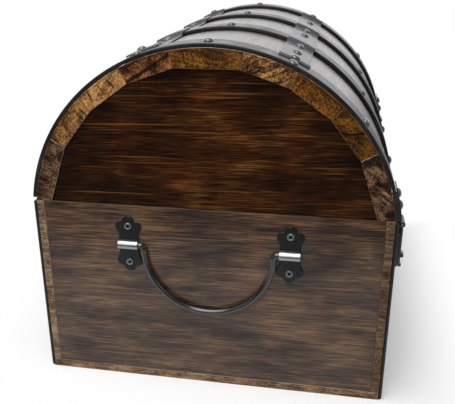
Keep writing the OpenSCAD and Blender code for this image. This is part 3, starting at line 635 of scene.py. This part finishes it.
IRONS = {
    # base colour, roughness, depth of the dents in mm, how close they lie, wear, coat, specular
    # level, depth of the orange peel in mm, metallic where the lacquer is rubbed off, seed
    "band_iron": ((0.009, 0.0093, 0.0098), 0.32, 0.05, 110, 0.5, 0.0, 0.3),
    "strap_iron": ((0.04, 0.041, 0.043), 0.45, 0.12, 130, 0.5, 0.4, 0.5, 0.036, 0.0, 0.4),
    "nail_iron": ((0.06, 0.061, 0.064), 0.16, 0.02, 300, 0.5, 1.0, 0.5),
    "hardware_iron": ((0.004, 0.0045, 0.0046), 0.36, 0.02, 300, 0.6, 0.15, 0.25),
    "hasp_iron": ((0.014, 0.015, 0.016), 0.34, 0.04, 200, 0.4, 0.3, 0.4),
    "rod_iron": ((0.009, 0.0095, 0.01), 0.17, 0.01, 300, 0.3, 0.6, 0.5, 0.01),
    "loop_iron": ((0.28, 0.28, 0.29), 0.3, 0.01, 300, 0.2, 0.5, 0.5, 0.01, 1.0),
    "screw_steel": ((0.06, 0.065, 0.067), 0.25, 0.01, 400, 0.6, 1.0, 0.5),
    "socket_iron": ((0.003, 0.003, 0.003), 0.8, 0.01, 400, 0.1, 0.0, 0.05),
    "pin_steel": ((0.09, 0.09, 0.095), 0.3, 0.02, 400, 0.5, 0.0, 0.5),
}


def build_materials():
    """Every finish of the chest by name."""
    made = {}
    made["end_panel"] = stained_wood("end_panel_wood", Y, BOX_PANEL, 0.31, 0.4, 0.8, 0.1, 1.2,
                                     coat_gloss=0.16, hues=0.3)
    # the lid panel's end gets painted shade towards the staves
    made["lid_panel"] = stained_wood("lid_panel_wood", Y, PANEL, 0.47, 0.4, 0.12, 0.05, 1.5,
                                     coat_gloss=0.2, hues=0.4, painted_shade=0.8)
    made["rubbed"] = stained_wood("rubbed_edge_wood", Y, RUBBED, 0.6, 0.6, 0.0, 0.1)
    made["board"] = stained_wood("board_wood", X, BOARD, 0.11, 0.4, 0.3)
    # painted highlight on the eased edges of the boards and staves: lighter tones under a full coat
    made["edge"] = stained_wood("edge_wood", Y, EDGE_HIGHLIGHT, 0.21, 0.3, 1.0, 0.5)
    for name, colours in STRIPS.items():
        made[f"{name}_end"] = end_grain(f"{name}_board_end_grain", colours, 0.2, 90, 0.4, 0.4, 0.3)
    for k, (colours, *look) in enumerate(STAVE_ENDS, start=1):
        made[f"stave_{k}"] = stained_wood(f"stave_{k}_wood", X, OUTER, 0.13 * k, 0.35, 1.0, 0.5,
                                          relief=0.0, coat_gloss=0.3)
        made[f"stave_end_{k}"] = end_grain(f"stave_{k}_end_grain", colours, 0.37 * k, *look)
    for name, look in IRONS.items():
        made[name.split("_")[0]] = black_iron(name, *look)
    return made


# Wooden pieces

def box_boards():
    """Bottom, front and back boards and the two end panels, with eased edges."""
    y, t, r = CHEST_Y, BOARD_T, 0.7 * MM
    for name, *sides in (("bottom", -y, y, 0, BOTTOM_T), ("front", -y, t - y, BOTTOM_T, SEAM_Z),
                         ("back", y - t, y, BOTTOM_T, SEAM_Z)):
        end_faces(add(f"{name}_wood", bar(rect(*sides, r, flat=FLAT), -CHEST_X, CHEST_X),
                      [finish["board"], finish[f"{name}_end"], finish["edge"]], "box",
                      f"{name}_board"))
    for name, x0, x1 in (("left", -CHEST_X, END_T - CHEST_X), ("right", CHEST_X - END_T, CHEST_X)):
        outline = rect(t - y, y - t, BOTTOM_T, SEAM_Z, r, flat=FLAT)
        end_faces(add(f"{name}_end_wood", bar(outline, x0, x1), [finish["end_panel"]] * 2
                      + [finish["rubbed"]], "box", f"{name}_end_panel"))


def dome_arc(r, a, b, step=1.0):
    """Points of an arc about the dome's axis, from angle a to b, as (y, z)."""
    n = max(2, int(abs(b - a) / step) + 1)
    return on_dome(0.0, r, np.linspace(a, b, n))[:, 1:]


def staves():
    """Nine staves: an outer arc, eased where it meets the next stave, and a flat inner face."""
    outer, inner = ([degrees_at(SEAM_Z, r), *JOINTS, 180 - degrees_at(SEAM_Z, r)]
                    for r in (DOME_R, INNER_R))
    dip = 0.12 * MM
    ease = math.degrees(dip / DOME_R)
    for k in range(1, 10):
        a, b = outer[k - 1], outer[k]
        arc = dome_arc(DOME_R, a + ease, b - ease)
        low = dome_arc(DOME_R - dip, a, b, b - a)
        foot = dome_arc(INNER_R, inner[k - 1], inner[k], inner[k] - inner[k - 1])
        outline = np.concatenate([foot[:1], low[:1], arc, low[1:], foot[1:]])
        end_faces(add(f"stave_wood_{k}", bar(outline, -CHEST_X, CHEST_X),
                      [finish[f"stave_{k}"], finish[f"stave_end_{k}"], finish["edge"]], "lid",
                      f"stave_{k}", angle=25))


def lid_panels():
    """The lid's end panels, inside the staves and set back a little."""
    seam = degrees_at(SEAM_Z, INNER_R)
    outline = on_dome(0.0, INNER_R, np.array([seam, *JOINTS, 180 - seam]))[:, 1:]
    x0, x1 = LID_END_X
    for name, a, b in (("left", -x1, -x0), ("right", x0, x1)):
        add(f"lid_{name}_end_wood", bar(outline, a, b, 0.4 * MM), finish["lid_panel"], "lid",
            f"lid_{name}_end_panel")


# Iron pieces

def lid_bands():
    """Bands over the dome: a bar with rounded edges, carried round it from end to end."""
    t = BAND_OUT_R - ON_DOME_R
    front_end = 180 - degrees_at(span("lid_band_2", Z)[0], BAND_OUT_R)
    back_end = degrees_at(SEAM_Z + 3 * MM, BAND_OUT_R)
    section = resample(rounded_rect(BAND_W, t, 0.8 * MM), 2.5 * MM)
    angles = np.linspace(back_end, front_end, 161)
    for i, x in enumerate(BAND_X, start=1):
        rows = on_dome(x + section[:, 0][None], ON_DOME_R + t / 2 + section[:, 1][None],
                       angles[:, None])
        add(f"band_iron_{i}", tube_mesh(rows), finish["band"], "lid", f"lid_band_{i}", angle=50)


def box_straps():
    """Straps down the front and the back, their lower outer corner rounded off."""
    corners = [0.3 * MM, STRAP_FOOT, 0.9 * MM, 0.3 * MM]
    back = rect(CHEST_Y, CHEST_Y + STRAP_T, *STRAP_Z, corners, 5)
    front = (back * [-1, 1])[::-1]
    for side, outline in (("back", back), ("front", front)):
        for i, x in enumerate(BAND_X, start=1):
            part = bar(outline, x - BAND_W / 2, x + BAND_W / 2, 0.7 * MM)
            add(f"{side}_strap_iron_{i}", part, finish["band"], "box", f"{side}_strap_{i}")


def dome_straps():
    """The lengthwise straps: a flat bar bent to the dome, whose height above the dome's axis
    steps up smoothly over each band and down again between them, its ends sloped."""
    edge = BAND_W / 2 + 0.6 * MM
    step = 6 * MM
    slope = 0.8 * MM
    x = [s * (RIDGE_END - inwards) for inwards in (slope / 2, slope) for s in (-1, 1)]
    for band in BAND_X:
        for s in (-1, 1):
            x += list(band + s * (edge + np.linspace(0, 1, 13) * step))
    x += list(np.linspace(-RIDGE_END, RIDGE_END, 60))
    x = np.array(sorted(v for v in x if abs(v) <= RIDGE_END))
    away = np.min(np.abs(x[:, None] - np.array(BAND_X)), axis=1) - edge
    rise = 1 - np.clip(away / step, 0, 1)
    rise = rise + 0.35 * rise * (1 - rise) * (2 * rise - 1)
    r = ON_DOME_R + (ON_BAND_R - ON_DOME_R) * rise
    thick = np.clip(0.35 + 0.65 * np.sqrt((RIDGE_END - np.abs(x)) / slope), 0, 1)
    section = resample(rounded_rect(RIDGE_W, RIDGE_T, 0.7 * MM), 2.5 * MM)
    height = (section[:, 1] + RIDGE_T / 2) * thick[:, None]
    for name, deg in zip(("back", "front"), RIDGE_DEGS):
        rows = on_dome(x[:, None], r[:, None] + height, deg - np.degrees(section[:, 0] / DOME_R))
        add(f"{name}_dome_strap_iron", tube_mesh(rows), finish["strap"], "lid",
            f"{name}_dome_strap")


def dome_nail(part, x, deg, r):
    """A nail set in the dome, its head at radius r."""
    origin = on_dome(x, r, deg)
    return place(part, origin, origin - [x, 0, DOME_Z])


def nails():
    """Domed nails of the bands, the lengthwise straps and the hasps, and low nails of the rest."""
    domed = nail(NAIL_D, NAIL_H, LID_SHANK)
    pitch = (90 - degrees_at(SEAM_Z, DOME_R) - 4.5) / 3
    parts = []
    for x in BAND_X:
        steps = [-3, -2, 0, 2, 3] if x in BAND_X[1:-1] else [-2.5, 0, 2]
        parts += [dome_nail(domed, x, 90 + n * pitch, BAND_OUT_R + 0.05 * MM) for n in steps]
    add("band_nail_heads", join(parts), finish["nail"], "lid", "lid_band_nails")

    near_edge = BAND_W / 2 + RIDGE_MARGIN + RIDGE_T + NAIL_D / 2 + 1 * MM
    low = [(a + b) / 2 for a, b in zip(BAND_X, BAND_X[1:])]
    low += [b + s * near_edge for b in BAND_X[1:-1] for s in (-1, 1)]
    tips = [s * (RIDGE_END - NAIL_D / 2 - 0.5 * MM) for s in (-1, 1)]
    rims = [s * (CHEST_X - 6 * MM) for s in (-1, 1)]
    parts = [dome_nail(domed, x, deg, r) for deg in RIDGE_DEGS
             for xs, r in ((low, ON_DOME_R + RIDGE_T), (tips, ON_BAND_R + RIDGE_T),
                           (rims, BAND_OUT_R)) for x in xs]
    add("dome_strap_nail_heads", join(parts), finish["nail"], "lid", "dome_strap_nails")

    parts = [dome_nail(domed, s * BAND_X[-1], 180 - degrees_at(z, ON_BAND_R),
                       ON_BAND_R + HASP_LEAF_T) for s in (-1, 1) for z in HASP_NAIL_Z]
    add("hasp_nail_heads", join(parts), finish["nail"], "lid", "hasp_nails")

    low_nail = nail(FLAT_NAIL_D, FLAT_NAIL_H, BOX_SHANK)
    parts = []
    for side in (-1, 1):
        for x in BAND_X:
            under_hasp = side < 0 and x not in BAND_X[1:-1]
            for k in range(3 if under_hasp else 4):
                z = STRAP_NAIL_IN + k * (SEAM_Z - 2 * STRAP_NAIL_IN) / 3
                parts.append(place(low_nail, (x, side * (CHEST_Y + STRAP_T), z), (0, side, 0)))
    add("box_strap_nail_heads", join(parts), finish["nail"], "box", "box_strap_nails")

    leaf_nail = nail(LEAF_NAIL_D, LEAF_NAIL_H, BOX_SHANK)
    deg = degrees_at(SEAM_Z + HINGE_NAIL_RISE, DOME_R)
    on_lid = [dome_nail(leaf_nail, x, deg, ON_DOME_R + HINGE_LEAF_T) for x in HINGE_NAIL_X]
    on_box = [place(leaf_nail, (x, CHEST_Y + HINGE_LEAF_T, SEAM_Z - HINGE_NAIL_RISE), (0, 1, 0))
              for x in HINGE_NAIL_X]
    add("hinge_lid_nail_heads", join(on_lid), finish["nail"], "lid", "hinge_lid_nails")
    add("hinge_box_nail_heads", join(on_box), finish["nail"], "box", "hinge_box_nails")


# Handles

def plate_outline(n=200):
    """Distance of the plate's edge from its middle in every direction: the farthest of a
    rectangle and, at each end, three lobes on circles."""
    d = circle(1, all_round(n))
    side_y, top_z = PLATE_W / 2 - LOBE_R, PLATE_H / 2 - LOBE_R
    side_z = top_z - LOBE_STEP
    half = np.array([LOOP_W / 2, side_z])
    reach = (half / np.maximum(np.abs(d), 1e-9)).min(-1)
    for y, z in ((0, top_z), (side_y, side_z), (-side_y, side_z)):
        for s in (-1, 1):
            along = d @ np.array([y, s * z])
            inside = LOBE_R ** 2 - (y * y + z * z) + along ** 2
            hit = (inside > 0) & (along > 0)
            reach = np.where(hit, np.maximum(reach, along + np.sqrt(np.maximum(inside, 0))), reach)
    return d * reach[:, None]


def out_of_end(side, y):
    """Carries (u, v, w) to an end: w out of the panel, v up, at place y along it."""
    def turn(points):
        return np.column_stack([side * (CHEST_X + points[:, 2]), y + side * points[:, 0],
                                HANDLE_Z + points[:, 1]])
    return turn


def handle_plates():
    """Two lobed plates on each end, a pressed half tube across each one."""
    whole = plate_outline()
    gap = LOOP_IN_R + LOOP_WALL * 0.5
    upper = whole[whole[:, 1] > gap]
    first = int(np.argmin(np.where(upper[:, 0] > 0, upper[:, 1], 1)))
    upper = np.roll(upper, -first, 0)
    upper = np.concatenate([[(-LOOP_W / 2, gap), (LOOP_W / 2, gap)], upper])
    lower = -upper
    t = np.linspace(0, math.pi, 25)
    out_r, in_r = LOOP_IN_R + LOOP_WALL - 0.01 * MM, LOOP_IN_R
    arch, hollow = circle(out_r, t, 0, ROD_OFF), circle(in_r, t, 0, ROD_OFF)[::-1]
    bow = np.concatenate([[(out_r, 0.0)], arch, [(-out_r, 0.0), (-in_r, 0.0)], hollow,
                          [(in_r, 0.0)]])
    for side_name, side in SIDES:
        for name, s in (("front", -1), ("back", 1)):
            y = s * PLATE_Y
            turn = out_of_end(side, y)
            parts = [slab(half, 0, PLATE_T, 0.6 * MM, turn=turn) for half in (upper, lower)]
            add(f"{side_name}_{name}_plate_iron", join(parts), finish["hardware"], "box",
                f"{side_name}_{name}_handle_plate")
            add(f"{side_name}_{name}_plate_loop",
                slab(bow, -LOOP_W / 2, LOOP_W / 2, 0.25 * MM,
                     turn=lambda points: turn(points[:, [2, 0, 1]])), finish["loop"], "box",
                f"{side_name}_{name}_handle_plate")


def bails():
    """A rod swept along its middle line: a half ring, a quarter bend at each end, a straight pin."""
    hoop = circle(BAIL_R, np.linspace(-math.pi, 0, 81), 0, -BAIL_BEND_R)
    bend = circle(BAIL_BEND_R, np.linspace(math.pi, math.pi / 2, 9)[1:], BAIL_R + BAIL_BEND_R,
                  -BAIL_BEND_R)
    pin = np.stack([np.linspace(BAIL_R + BAIL_BEND_R, BAIL_PIN_END, 5)[1:], np.zeros(4)], -1)
    half = np.concatenate([bend, pin])
    path = np.concatenate([(half * [-1, 1])[::-1], hoop, half])
    along = unit(np.gradient(path, axis=0))
    t = all_round(24)
    for name, side in SIDES:
        x = side * (CHEST_X + ROD_OFF)
        rows = np.zeros((len(path), len(t), 3))
        rows[:, :, 0] = x + ROD_R * np.cos(t)
        rows[:, :, 1] = path[:, :1] - along[:, 1:] * ROD_R * np.sin(t)
        rows[:, :, 2] = HANDLE_Z + path[:, 1:] + along[:, :1] * ROD_R * np.sin(t)
        add(f"{name}_bail_rod", tube_mesh(rows[:, ::-1]), finish["rod"], f"{name}_handle",
            f"{name}_bail", angle=60)


def screws():
    """Ring-headed screws: a rounded rim, level inside, round a deep socket."""
    r, h, socket, shank, foot = SCREW_D / 2, SCREW_H, 1.3 * MM, 1.2 * MM, -7 * MM
    t = np.linspace(0, math.pi / 2, 6)
    rim = np.stack([r * (0.68 + 0.32 * np.cos(t)), PLATE_T + h * (0.25 + 0.75 * np.sin(t))], -1)
    inner = [(socket + 0.35 * MM, PLATE_T + h), (socket, PLATE_T + 0.8 * h),
             (socket, PLATE_T + 0.3 * h), (0, PLATE_T + 0.3 * h)]
    outer = [(0, foot), (shank, foot), (shank, PLATE_T), (r, PLATE_T)]
    screw = turned(np.concatenate([outer, rim, inner]))
    parts = [place(screw, (side * CHEST_X, y, HANDLE_Z + z), (side, 0, 0), (0, 1, 0))
             for side in (-1, 1) for y in (-PLATE_Y, PLATE_Y) for z in (-SCREW_Z, SCREW_Z)]
    heads = add("handle_screw_heads", join(parts), [finish["screw"], finish["socket"]], "box",
                "handle_screws")
    middles = face_rows(heads.data, "center")
    y, z = np.abs(middles[:, Y]), np.abs(middles[:, Z] - HANDLE_Z)
    set_materials(heads.data, np.hypot(y - PLATE_Y, z - SCREW_Z) < socket + 0.05 * MM)


# Hasps and hinges

def bent_plate(r, t, low, high, steps=12):
    """Outline (y, z) of a plate bent to the front of the dome, between two heights."""
    a, b = (180 - degrees_at(z, r + t / 2) for z in (high, low))
    outer, inner = dome_arc(r + t, a, b, (b - a) / steps), dome_arc(r, a, b, (b - a) / steps)
    return np.concatenate([outer, inner[::-1]])


def knuckle(x0, x1, y, z, r):
    """A round bar along X, its ends eased."""
    return bar(circle(r, all_round(28), y, z), x0, x1, EASE)


def plate_with_slot(outline, hole, low, high, turn):
    """A slab with a hole through it: rings run round the outline, then back round the hole. Both
    have as many points, in the same order."""
    t = np.linspace(0, math.pi / 2, 4)
    rings = eased_rings(outline, low, high, EASE * (1 - np.sin(t)), EASE * (1 - np.cos(t)))
    rings += [ring(hole, w) for w in (high, high - EASE, low + EASE, low)]
    points = np.array(rings)
    rows, columns = points.shape[:2]
    return turn(points.reshape(-1, 3)), grid_faces(rows, columns, close_rows=True).tolist()


def hasps():
    """A bent leaf and outer knuckles on the lid, a slotted tongue that hangs over a keeper plate,
    and the turn knob that stands through its slot."""
    side_w = (HASP_W - HASP_MID_W) / 2 - MOVE_GAP
    leaf_low = SEAM_Z + 3 * MM
    tab_y = -math.sqrt(BAND_OUT_R ** 2 - (SEAM_Z + 1 * MM - DOME_Z) ** 2) - 0.1 * MM
    face = TONGUE_BACK + TONGUE_T
    knob_foot = face + 0.4 * MM
    stem_r, lip_r, half_lip = 1.5 * MM, 1.6 * MM, 4.5 * MM
    tip_r = HASP_W / 2 - 1 * MM
    tip_z = TONGUE_LOW + tip_r
    turn_z = HASP_Z - HASP_KNUCKLE_R - 1 * MM
    low_half = circle(tip_r, np.linspace(-math.pi, 0, 25), 0, tip_z)
    tongue = resample(np.concatenate([low_half, [(tip_r, turn_z), (-tip_r, turn_z)]]), 1.2 * MM)
    slot_half = np.array([KNOB_LEN / 2 + 0.6 * MM, KNOB_W / 2 + 0.7 * MM])
    centre = np.array([0, KNOB_Z])
    away = unit(tongue - centre)
    hole = centre + away * (slot_half / np.maximum(np.abs(away), 1e-9)).min(-1)[:, None]
    stadium = rect(-KNOB_LEN / 2, KNOB_LEN / 2, -KNOB_W / 2, KNOB_W / 2, KNOB_W * 0.42, 6)
    for name, side in SIDES:
        x = side * HASP_X
        left, right = x - HASP_W / 2, x + HASP_W / 2

        def on_front(depth, z=0.0):
            """Carries (u, v, w) to the front: u along it, v up, and w out from a depth."""
            return lambda p: np.column_stack([x + p[:, 0], -depth - p[:, 2], z + p[:, 1]])
        leaf = [bar(bent_plate(ON_BAND_R, HASP_LEAF_T, leaf_low, HASP_LEAF_TOP), left, right, EASE)]
        for x0 in (left, right - side_w):
            tab = rect(tab_y - HASP_LEAF_T, tab_y, HASP_Z, leaf_low + 0.4 * MM, 0.2 * MM)
            leaf += [bar(tab, x0, x0 + side_w, 0.2 * MM),
                     knuckle(x0, x0 + side_w, HASP_Y, HASP_Z, HASP_KNUCKLE_R)]
        add(f"{name}_hasp_leaf_iron", join(leaf), finish["hasp"], "lid", f"{name}_hasp_leaf")
        add(f"{name}_hasp_pin_steel", knuckle(left - 0.5 * MM, right + 0.5 * MM, HASP_Y, HASP_Z,
                                              HASP_PIN_R), finish["pin"], "lid",
            f"{name}_hasp_pin")

        neck = slab(rounded_rect(HASP_MID_W, HASP_KNUCKLE_R + 3 * MM, 0.3 * MM), 0, TONGUE_T,
                    0.25 * MM, turn=on_front(TONGUE_BACK, HASP_Z - HASP_KNUCKLE_R / 2 - 1.5 * MM))
        lip = knuckle(x - half_lip, x + half_lip, -face, TONGUE_LOW + lip_r, lip_r)
        hanging = [plate_with_slot(tongue, hole, 0, TONGUE_T, on_front(TONGUE_BACK)), neck, lip,
                   knuckle(x - HASP_MID_W / 2, x + HASP_MID_W / 2, HASP_Y, HASP_Z,
                           HASP_KNUCKLE_R)]
        add(f"{name}_tongue_iron", join(hanging), finish["hasp"], f"{name}_tongue",
            f"{name}_hasp_tongue")

        plate = f"{name}_keeper_plate"
        keeper = slab(rounded_rect(HASP_W, extent(plate, Z), 1.2 * MM), 0, KEEPER_T, 0.4 * MM,
                      turn=on_front(CHEST_Y + STRAP_T, middle(plate, Z)))
        add(f"{name}_keeper_iron", keeper, finish["hasp"], "box", plate)

        head = slab(stadium, 0, KNOB_T, 0.5 * MM, turn=on_front(knob_foot, KNOB_Z))
        stem = turned([(0, 0), (stem_r, 0), (stem_r, knob_foot - CHEST_Y), (0, knob_foot - CHEST_Y)])
        stem = place(stem, (x, -CHEST_Y, KNOB_Z), (0, -1, 0))
        add(f"{name}_knob_iron", join([head, stem]), finish["rod"], f"{name}_knob",
            f"{name}_turn_knob")


def keeper_rivets():
    """Flush rivets of the keeper plates, their faces slightly domed."""
    r = 1.5 * MM
    low, high = span("keeper_rivets", Z)
    depth, foot = (-y - CHEST_Y for y in span("keeper_rivets", Y))
    rivet = turned([(0, foot), (r, foot), (r, depth - 0.3 * MM), (0.8 * r, depth - 0.05 * MM),
                    (0, depth)])
    parts = [place(rivet, (side * HASP_X, -CHEST_Y, z), (0, -1, 0))
             for side in (-1, 1) for z in (low + r, high - r)]
    add("keeper_rivet_heads", join(parts), finish["nail"], "box", "keeper_rivets")


def hinges():
    """Box leaf, lid leaf bent to the dome, knuckles in turn and a headed pin."""
    side_w = (HINGE_W - HINGE_MID_W) / 2 - MOVE_GAP
    leaf_low = SEAM_Z + HINGE_KNUCKLE_R + MOVE_GAP
    lid_leaf, tab = ((bent_plate(ON_DOME_R, HINGE_LEAF_T, low, high) * [-1, 1])[::-1]
                     for low, high in ((leaf_low, SEAM_Z + HINGE_LEAF_H + MOVE_GAP),
                                       (SEAM_Z + HINGE_LEAF_T, leaf_low + 1 * MM)))
    box_leaf = rect(CHEST_Y, CHEST_Y + HINGE_LEAF_T, SEAM_Z - HINGE_LEAF_H, SEAM_Z - 1 * MM,
                    0.3 * MM)
    pin_head = 1.2 * MM

    def roll(x0, x1, r=HINGE_KNUCKLE_R):
        return knuckle(x0, x1, HINGE_Y, SEAM_Z, r)

    for name, side in SIDES:
        x = side * HINGE_X
        left, right = x - HINGE_W / 2, x + HINGE_W / 2
        mid = (x - HINGE_MID_W / 2, x + HINGE_MID_W / 2)
        fixed = [bar(box_leaf, left, right, 0.3 * MM)]
        fixed += [roll(x0, x0 + side_w) for x0 in (left, right - side_w)]
        add(f"{name}_hinge_box_iron", join(fixed), finish["hasp"], "box", f"{name}_hinge_box_leaf")
        swinging = [bar(lid_leaf, left, right, 0.3 * MM), bar(tab, *mid, 0.3 * MM), roll(*mid)]
        add(f"{name}_hinge_lid_iron", join(swinging), finish["hasp"], "lid",
            f"{name}_hinge_lid_leaf")
        pin = [roll(left - 1 * MM, right + 1 * MM, HINGE_PIN_R)]
        pin += [roll(x0, x0 + pin_head, HINGE_PIN_R + 0.7 * MM)
                for x0 in (left - MOVE_GAP - pin_head, right + MOVE_GAP)]
        add(f"{name}_hinge_pin_steel", join(pin), finish["pin"], "box", f"{name}_hinge_pin")


def ray(tree, kind):
    """1 for one kind of ray, such as those of the camera."""
    return make_node(tree, "LightPath", None, f"Is {kind} Ray")


def floor_and_world():
    """A pale floor that shows the chest's soft shadow and turns white away from its sides, and a
    white room. What shines sees a bright wall only beyond the chest's far end and a bright strip
    all round, so that the black iron stays black, and a floor that darkens towards the camera."""
    bpy.ops.mesh.primitive_plane_add(size=30, location=(0, 0, 0))
    floor = bpy.context.object
    floor.name = "floor"
    material, tree, shader = surface("floor_white", Roughness=0.9, Specular_IOR_Level=0.0)
    at = object_coords(tree)
    seen, mirrored = ray(tree, "Camera"), ray(tree, "Glossy")
    x, y = at.part(X), at.part(Y)
    low = 0.32
    beside = y.maths("ABSOLUTE", 0).ramp(CHEST_Y + 10 * MM, CHEST_Y + 110 * MM, low)
    beyond = x.maths("ABSOLUTE", 0).ramp(CHEST_X - 5 * MM, CHEST_X + 70 * MM, low)
    near = x.ramp(-0.62, -0.32)
    room_end = (1 - seen) * (1 - near)
    drive(tree, shader, Base_Color=mix((0.8,) * 3, (0.12,) * 3, room_end))
    glow = make_node(tree, "Emission", Color=(1, 1, 1), Strength=1.0)
    white = seen * beside.maths("MAXIMUM", beyond) + mirrored * near * 0.2
    lit = make_node(tree, "MixShader", _0=white, _1=Socket(tree, shader.outputs[0]), _2=glow)
    tree.links.new(lit.socket, tree.nodes["Material Output"].inputs[0])
    floor.data.materials.append(material)

    world = bpy.data.worlds.new("studio")
    scene.world = world
    world.use_nodes = True
    tree = world.node_tree
    tree.nodes.clear()
    seen, mirrored = ray(tree, "Camera"), ray(tree, "Glossy")
    direction = make_node(tree, "TexCoord", None, "Generated")
    ahead, up = direction.part(X), direction.part(Z)
    strip = up.ramp(0.20, 0.26) * up.ramp(0.46, 0.38) * 0.7
    room = ahead.ramp(-0.5, 0.1, 0.08, 0.3) + ahead.ramp(0.55, 0.9)
    room = room.maths("MAXIMUM", up.ramp(0.6, 0.85, 0.08, 0.35)).maths("MAXIMUM", strip)
    strength = seen + (1 - seen) * (mirrored * room + (1 - mirrored) * 0.2)
    back = make_node(tree, "Background", Color=(1, 1, 1), Strength=strength)
    out = tree.nodes.new("ShaderNodeOutputWorld")
    tree.links.new(back.socket, out.inputs[0])


LAMPS = [
    # name, place, aims at, width, height, watts
    ("top_softbox", (-0.5, 0.25, 1.4), (-0.15, 0, 0.1), 1.2, 0.8, 18),
    ("left_softbox", (-1.1, 1.2, 1.0), (0, 0, 0.15), 0.9, 0.9, 2),
    ("front_softbox", (-0.9, -1.4, 0.9), (0, 0, 0.15), 0.9, 0.9, 1),
    ("end_softbox", (-1.2, 0.2, 1.0), (-0.19, 0, 0.14), 0.8, 1.0, 9),
]


def lamps():
    """Rectangular area lamps, aimed at the chest."""
    for name, at, aim, width, height, watts in LAMPS:
        data = bpy.data.lights.new(name, "AREA")
        data.shape = "RECTANGLE"
        data.size, data.size_y, data.energy = width, height, watts
        lamp = bpy.data.objects.new(name, data)
        link(lamp)
        lamp.location = at
        lamp.rotation_euler = (Vector(aim) - Vector(at)).to_track_quat("-Z", "Y").to_euler()


def camera():
    """The photograph's view: place, turn, tilt and roll in the chest's frame."""
    place_at = np.array([-684.8, -100.0, 383.1]) * MM
    yaw, pitch, roll = np.radians([10.625, -21.35, -0.475])
    focal_px, centre_px, image_px = 649.16, (214.745, 200.732), (455, 404)
    ahead = np.array([*circle(math.cos(pitch), yaw), math.sin(pitch)])
    right = unit(np.cross(ahead, [0, 0, 1]))
    up = np.cross(right, ahead)
    right, up = (math.cos(roll) * right + math.sin(roll) * up,
                 math.cos(roll) * up - math.sin(roll) * right)
    turn = Matrix(np.array([right, up, -ahead]).T.tolist())
    data = bpy.data.cameras.new("camera")
    data.sensor_width = 36
    data.lens = focal_px / image_px[0] * data.sensor_width
    data.shift_x = (image_px[0] / 2 - centre_px[0]) / image_px[0]
    data.shift_y = (centre_px[1] - image_px[1] / 2) / image_px[0]
    data.clip_end = 50
    eye = bpy.data.objects.new("camera", data)
    link(eye)
    eye.matrix_world = Matrix.Translation(place_at.tolist()) @ turn.to_4x4()
    scene.camera = eye


finish = build_materials()
for node_name, node in frame["nodes"].items():
    node.data.materials.clear()
    node.data.materials.append(finish["pin" if slots[node_name] == "steel_pins" else "hardware"])
for build in (box_boards, staves, lid_panels, lid_bands, box_straps, dome_straps, nails, handle_plates,
              bails, screws, hasps, keeper_rivets, hinges, floor_and_world, lamps, camera):
    build()
scene.view_settings.view_transform = "Standard"
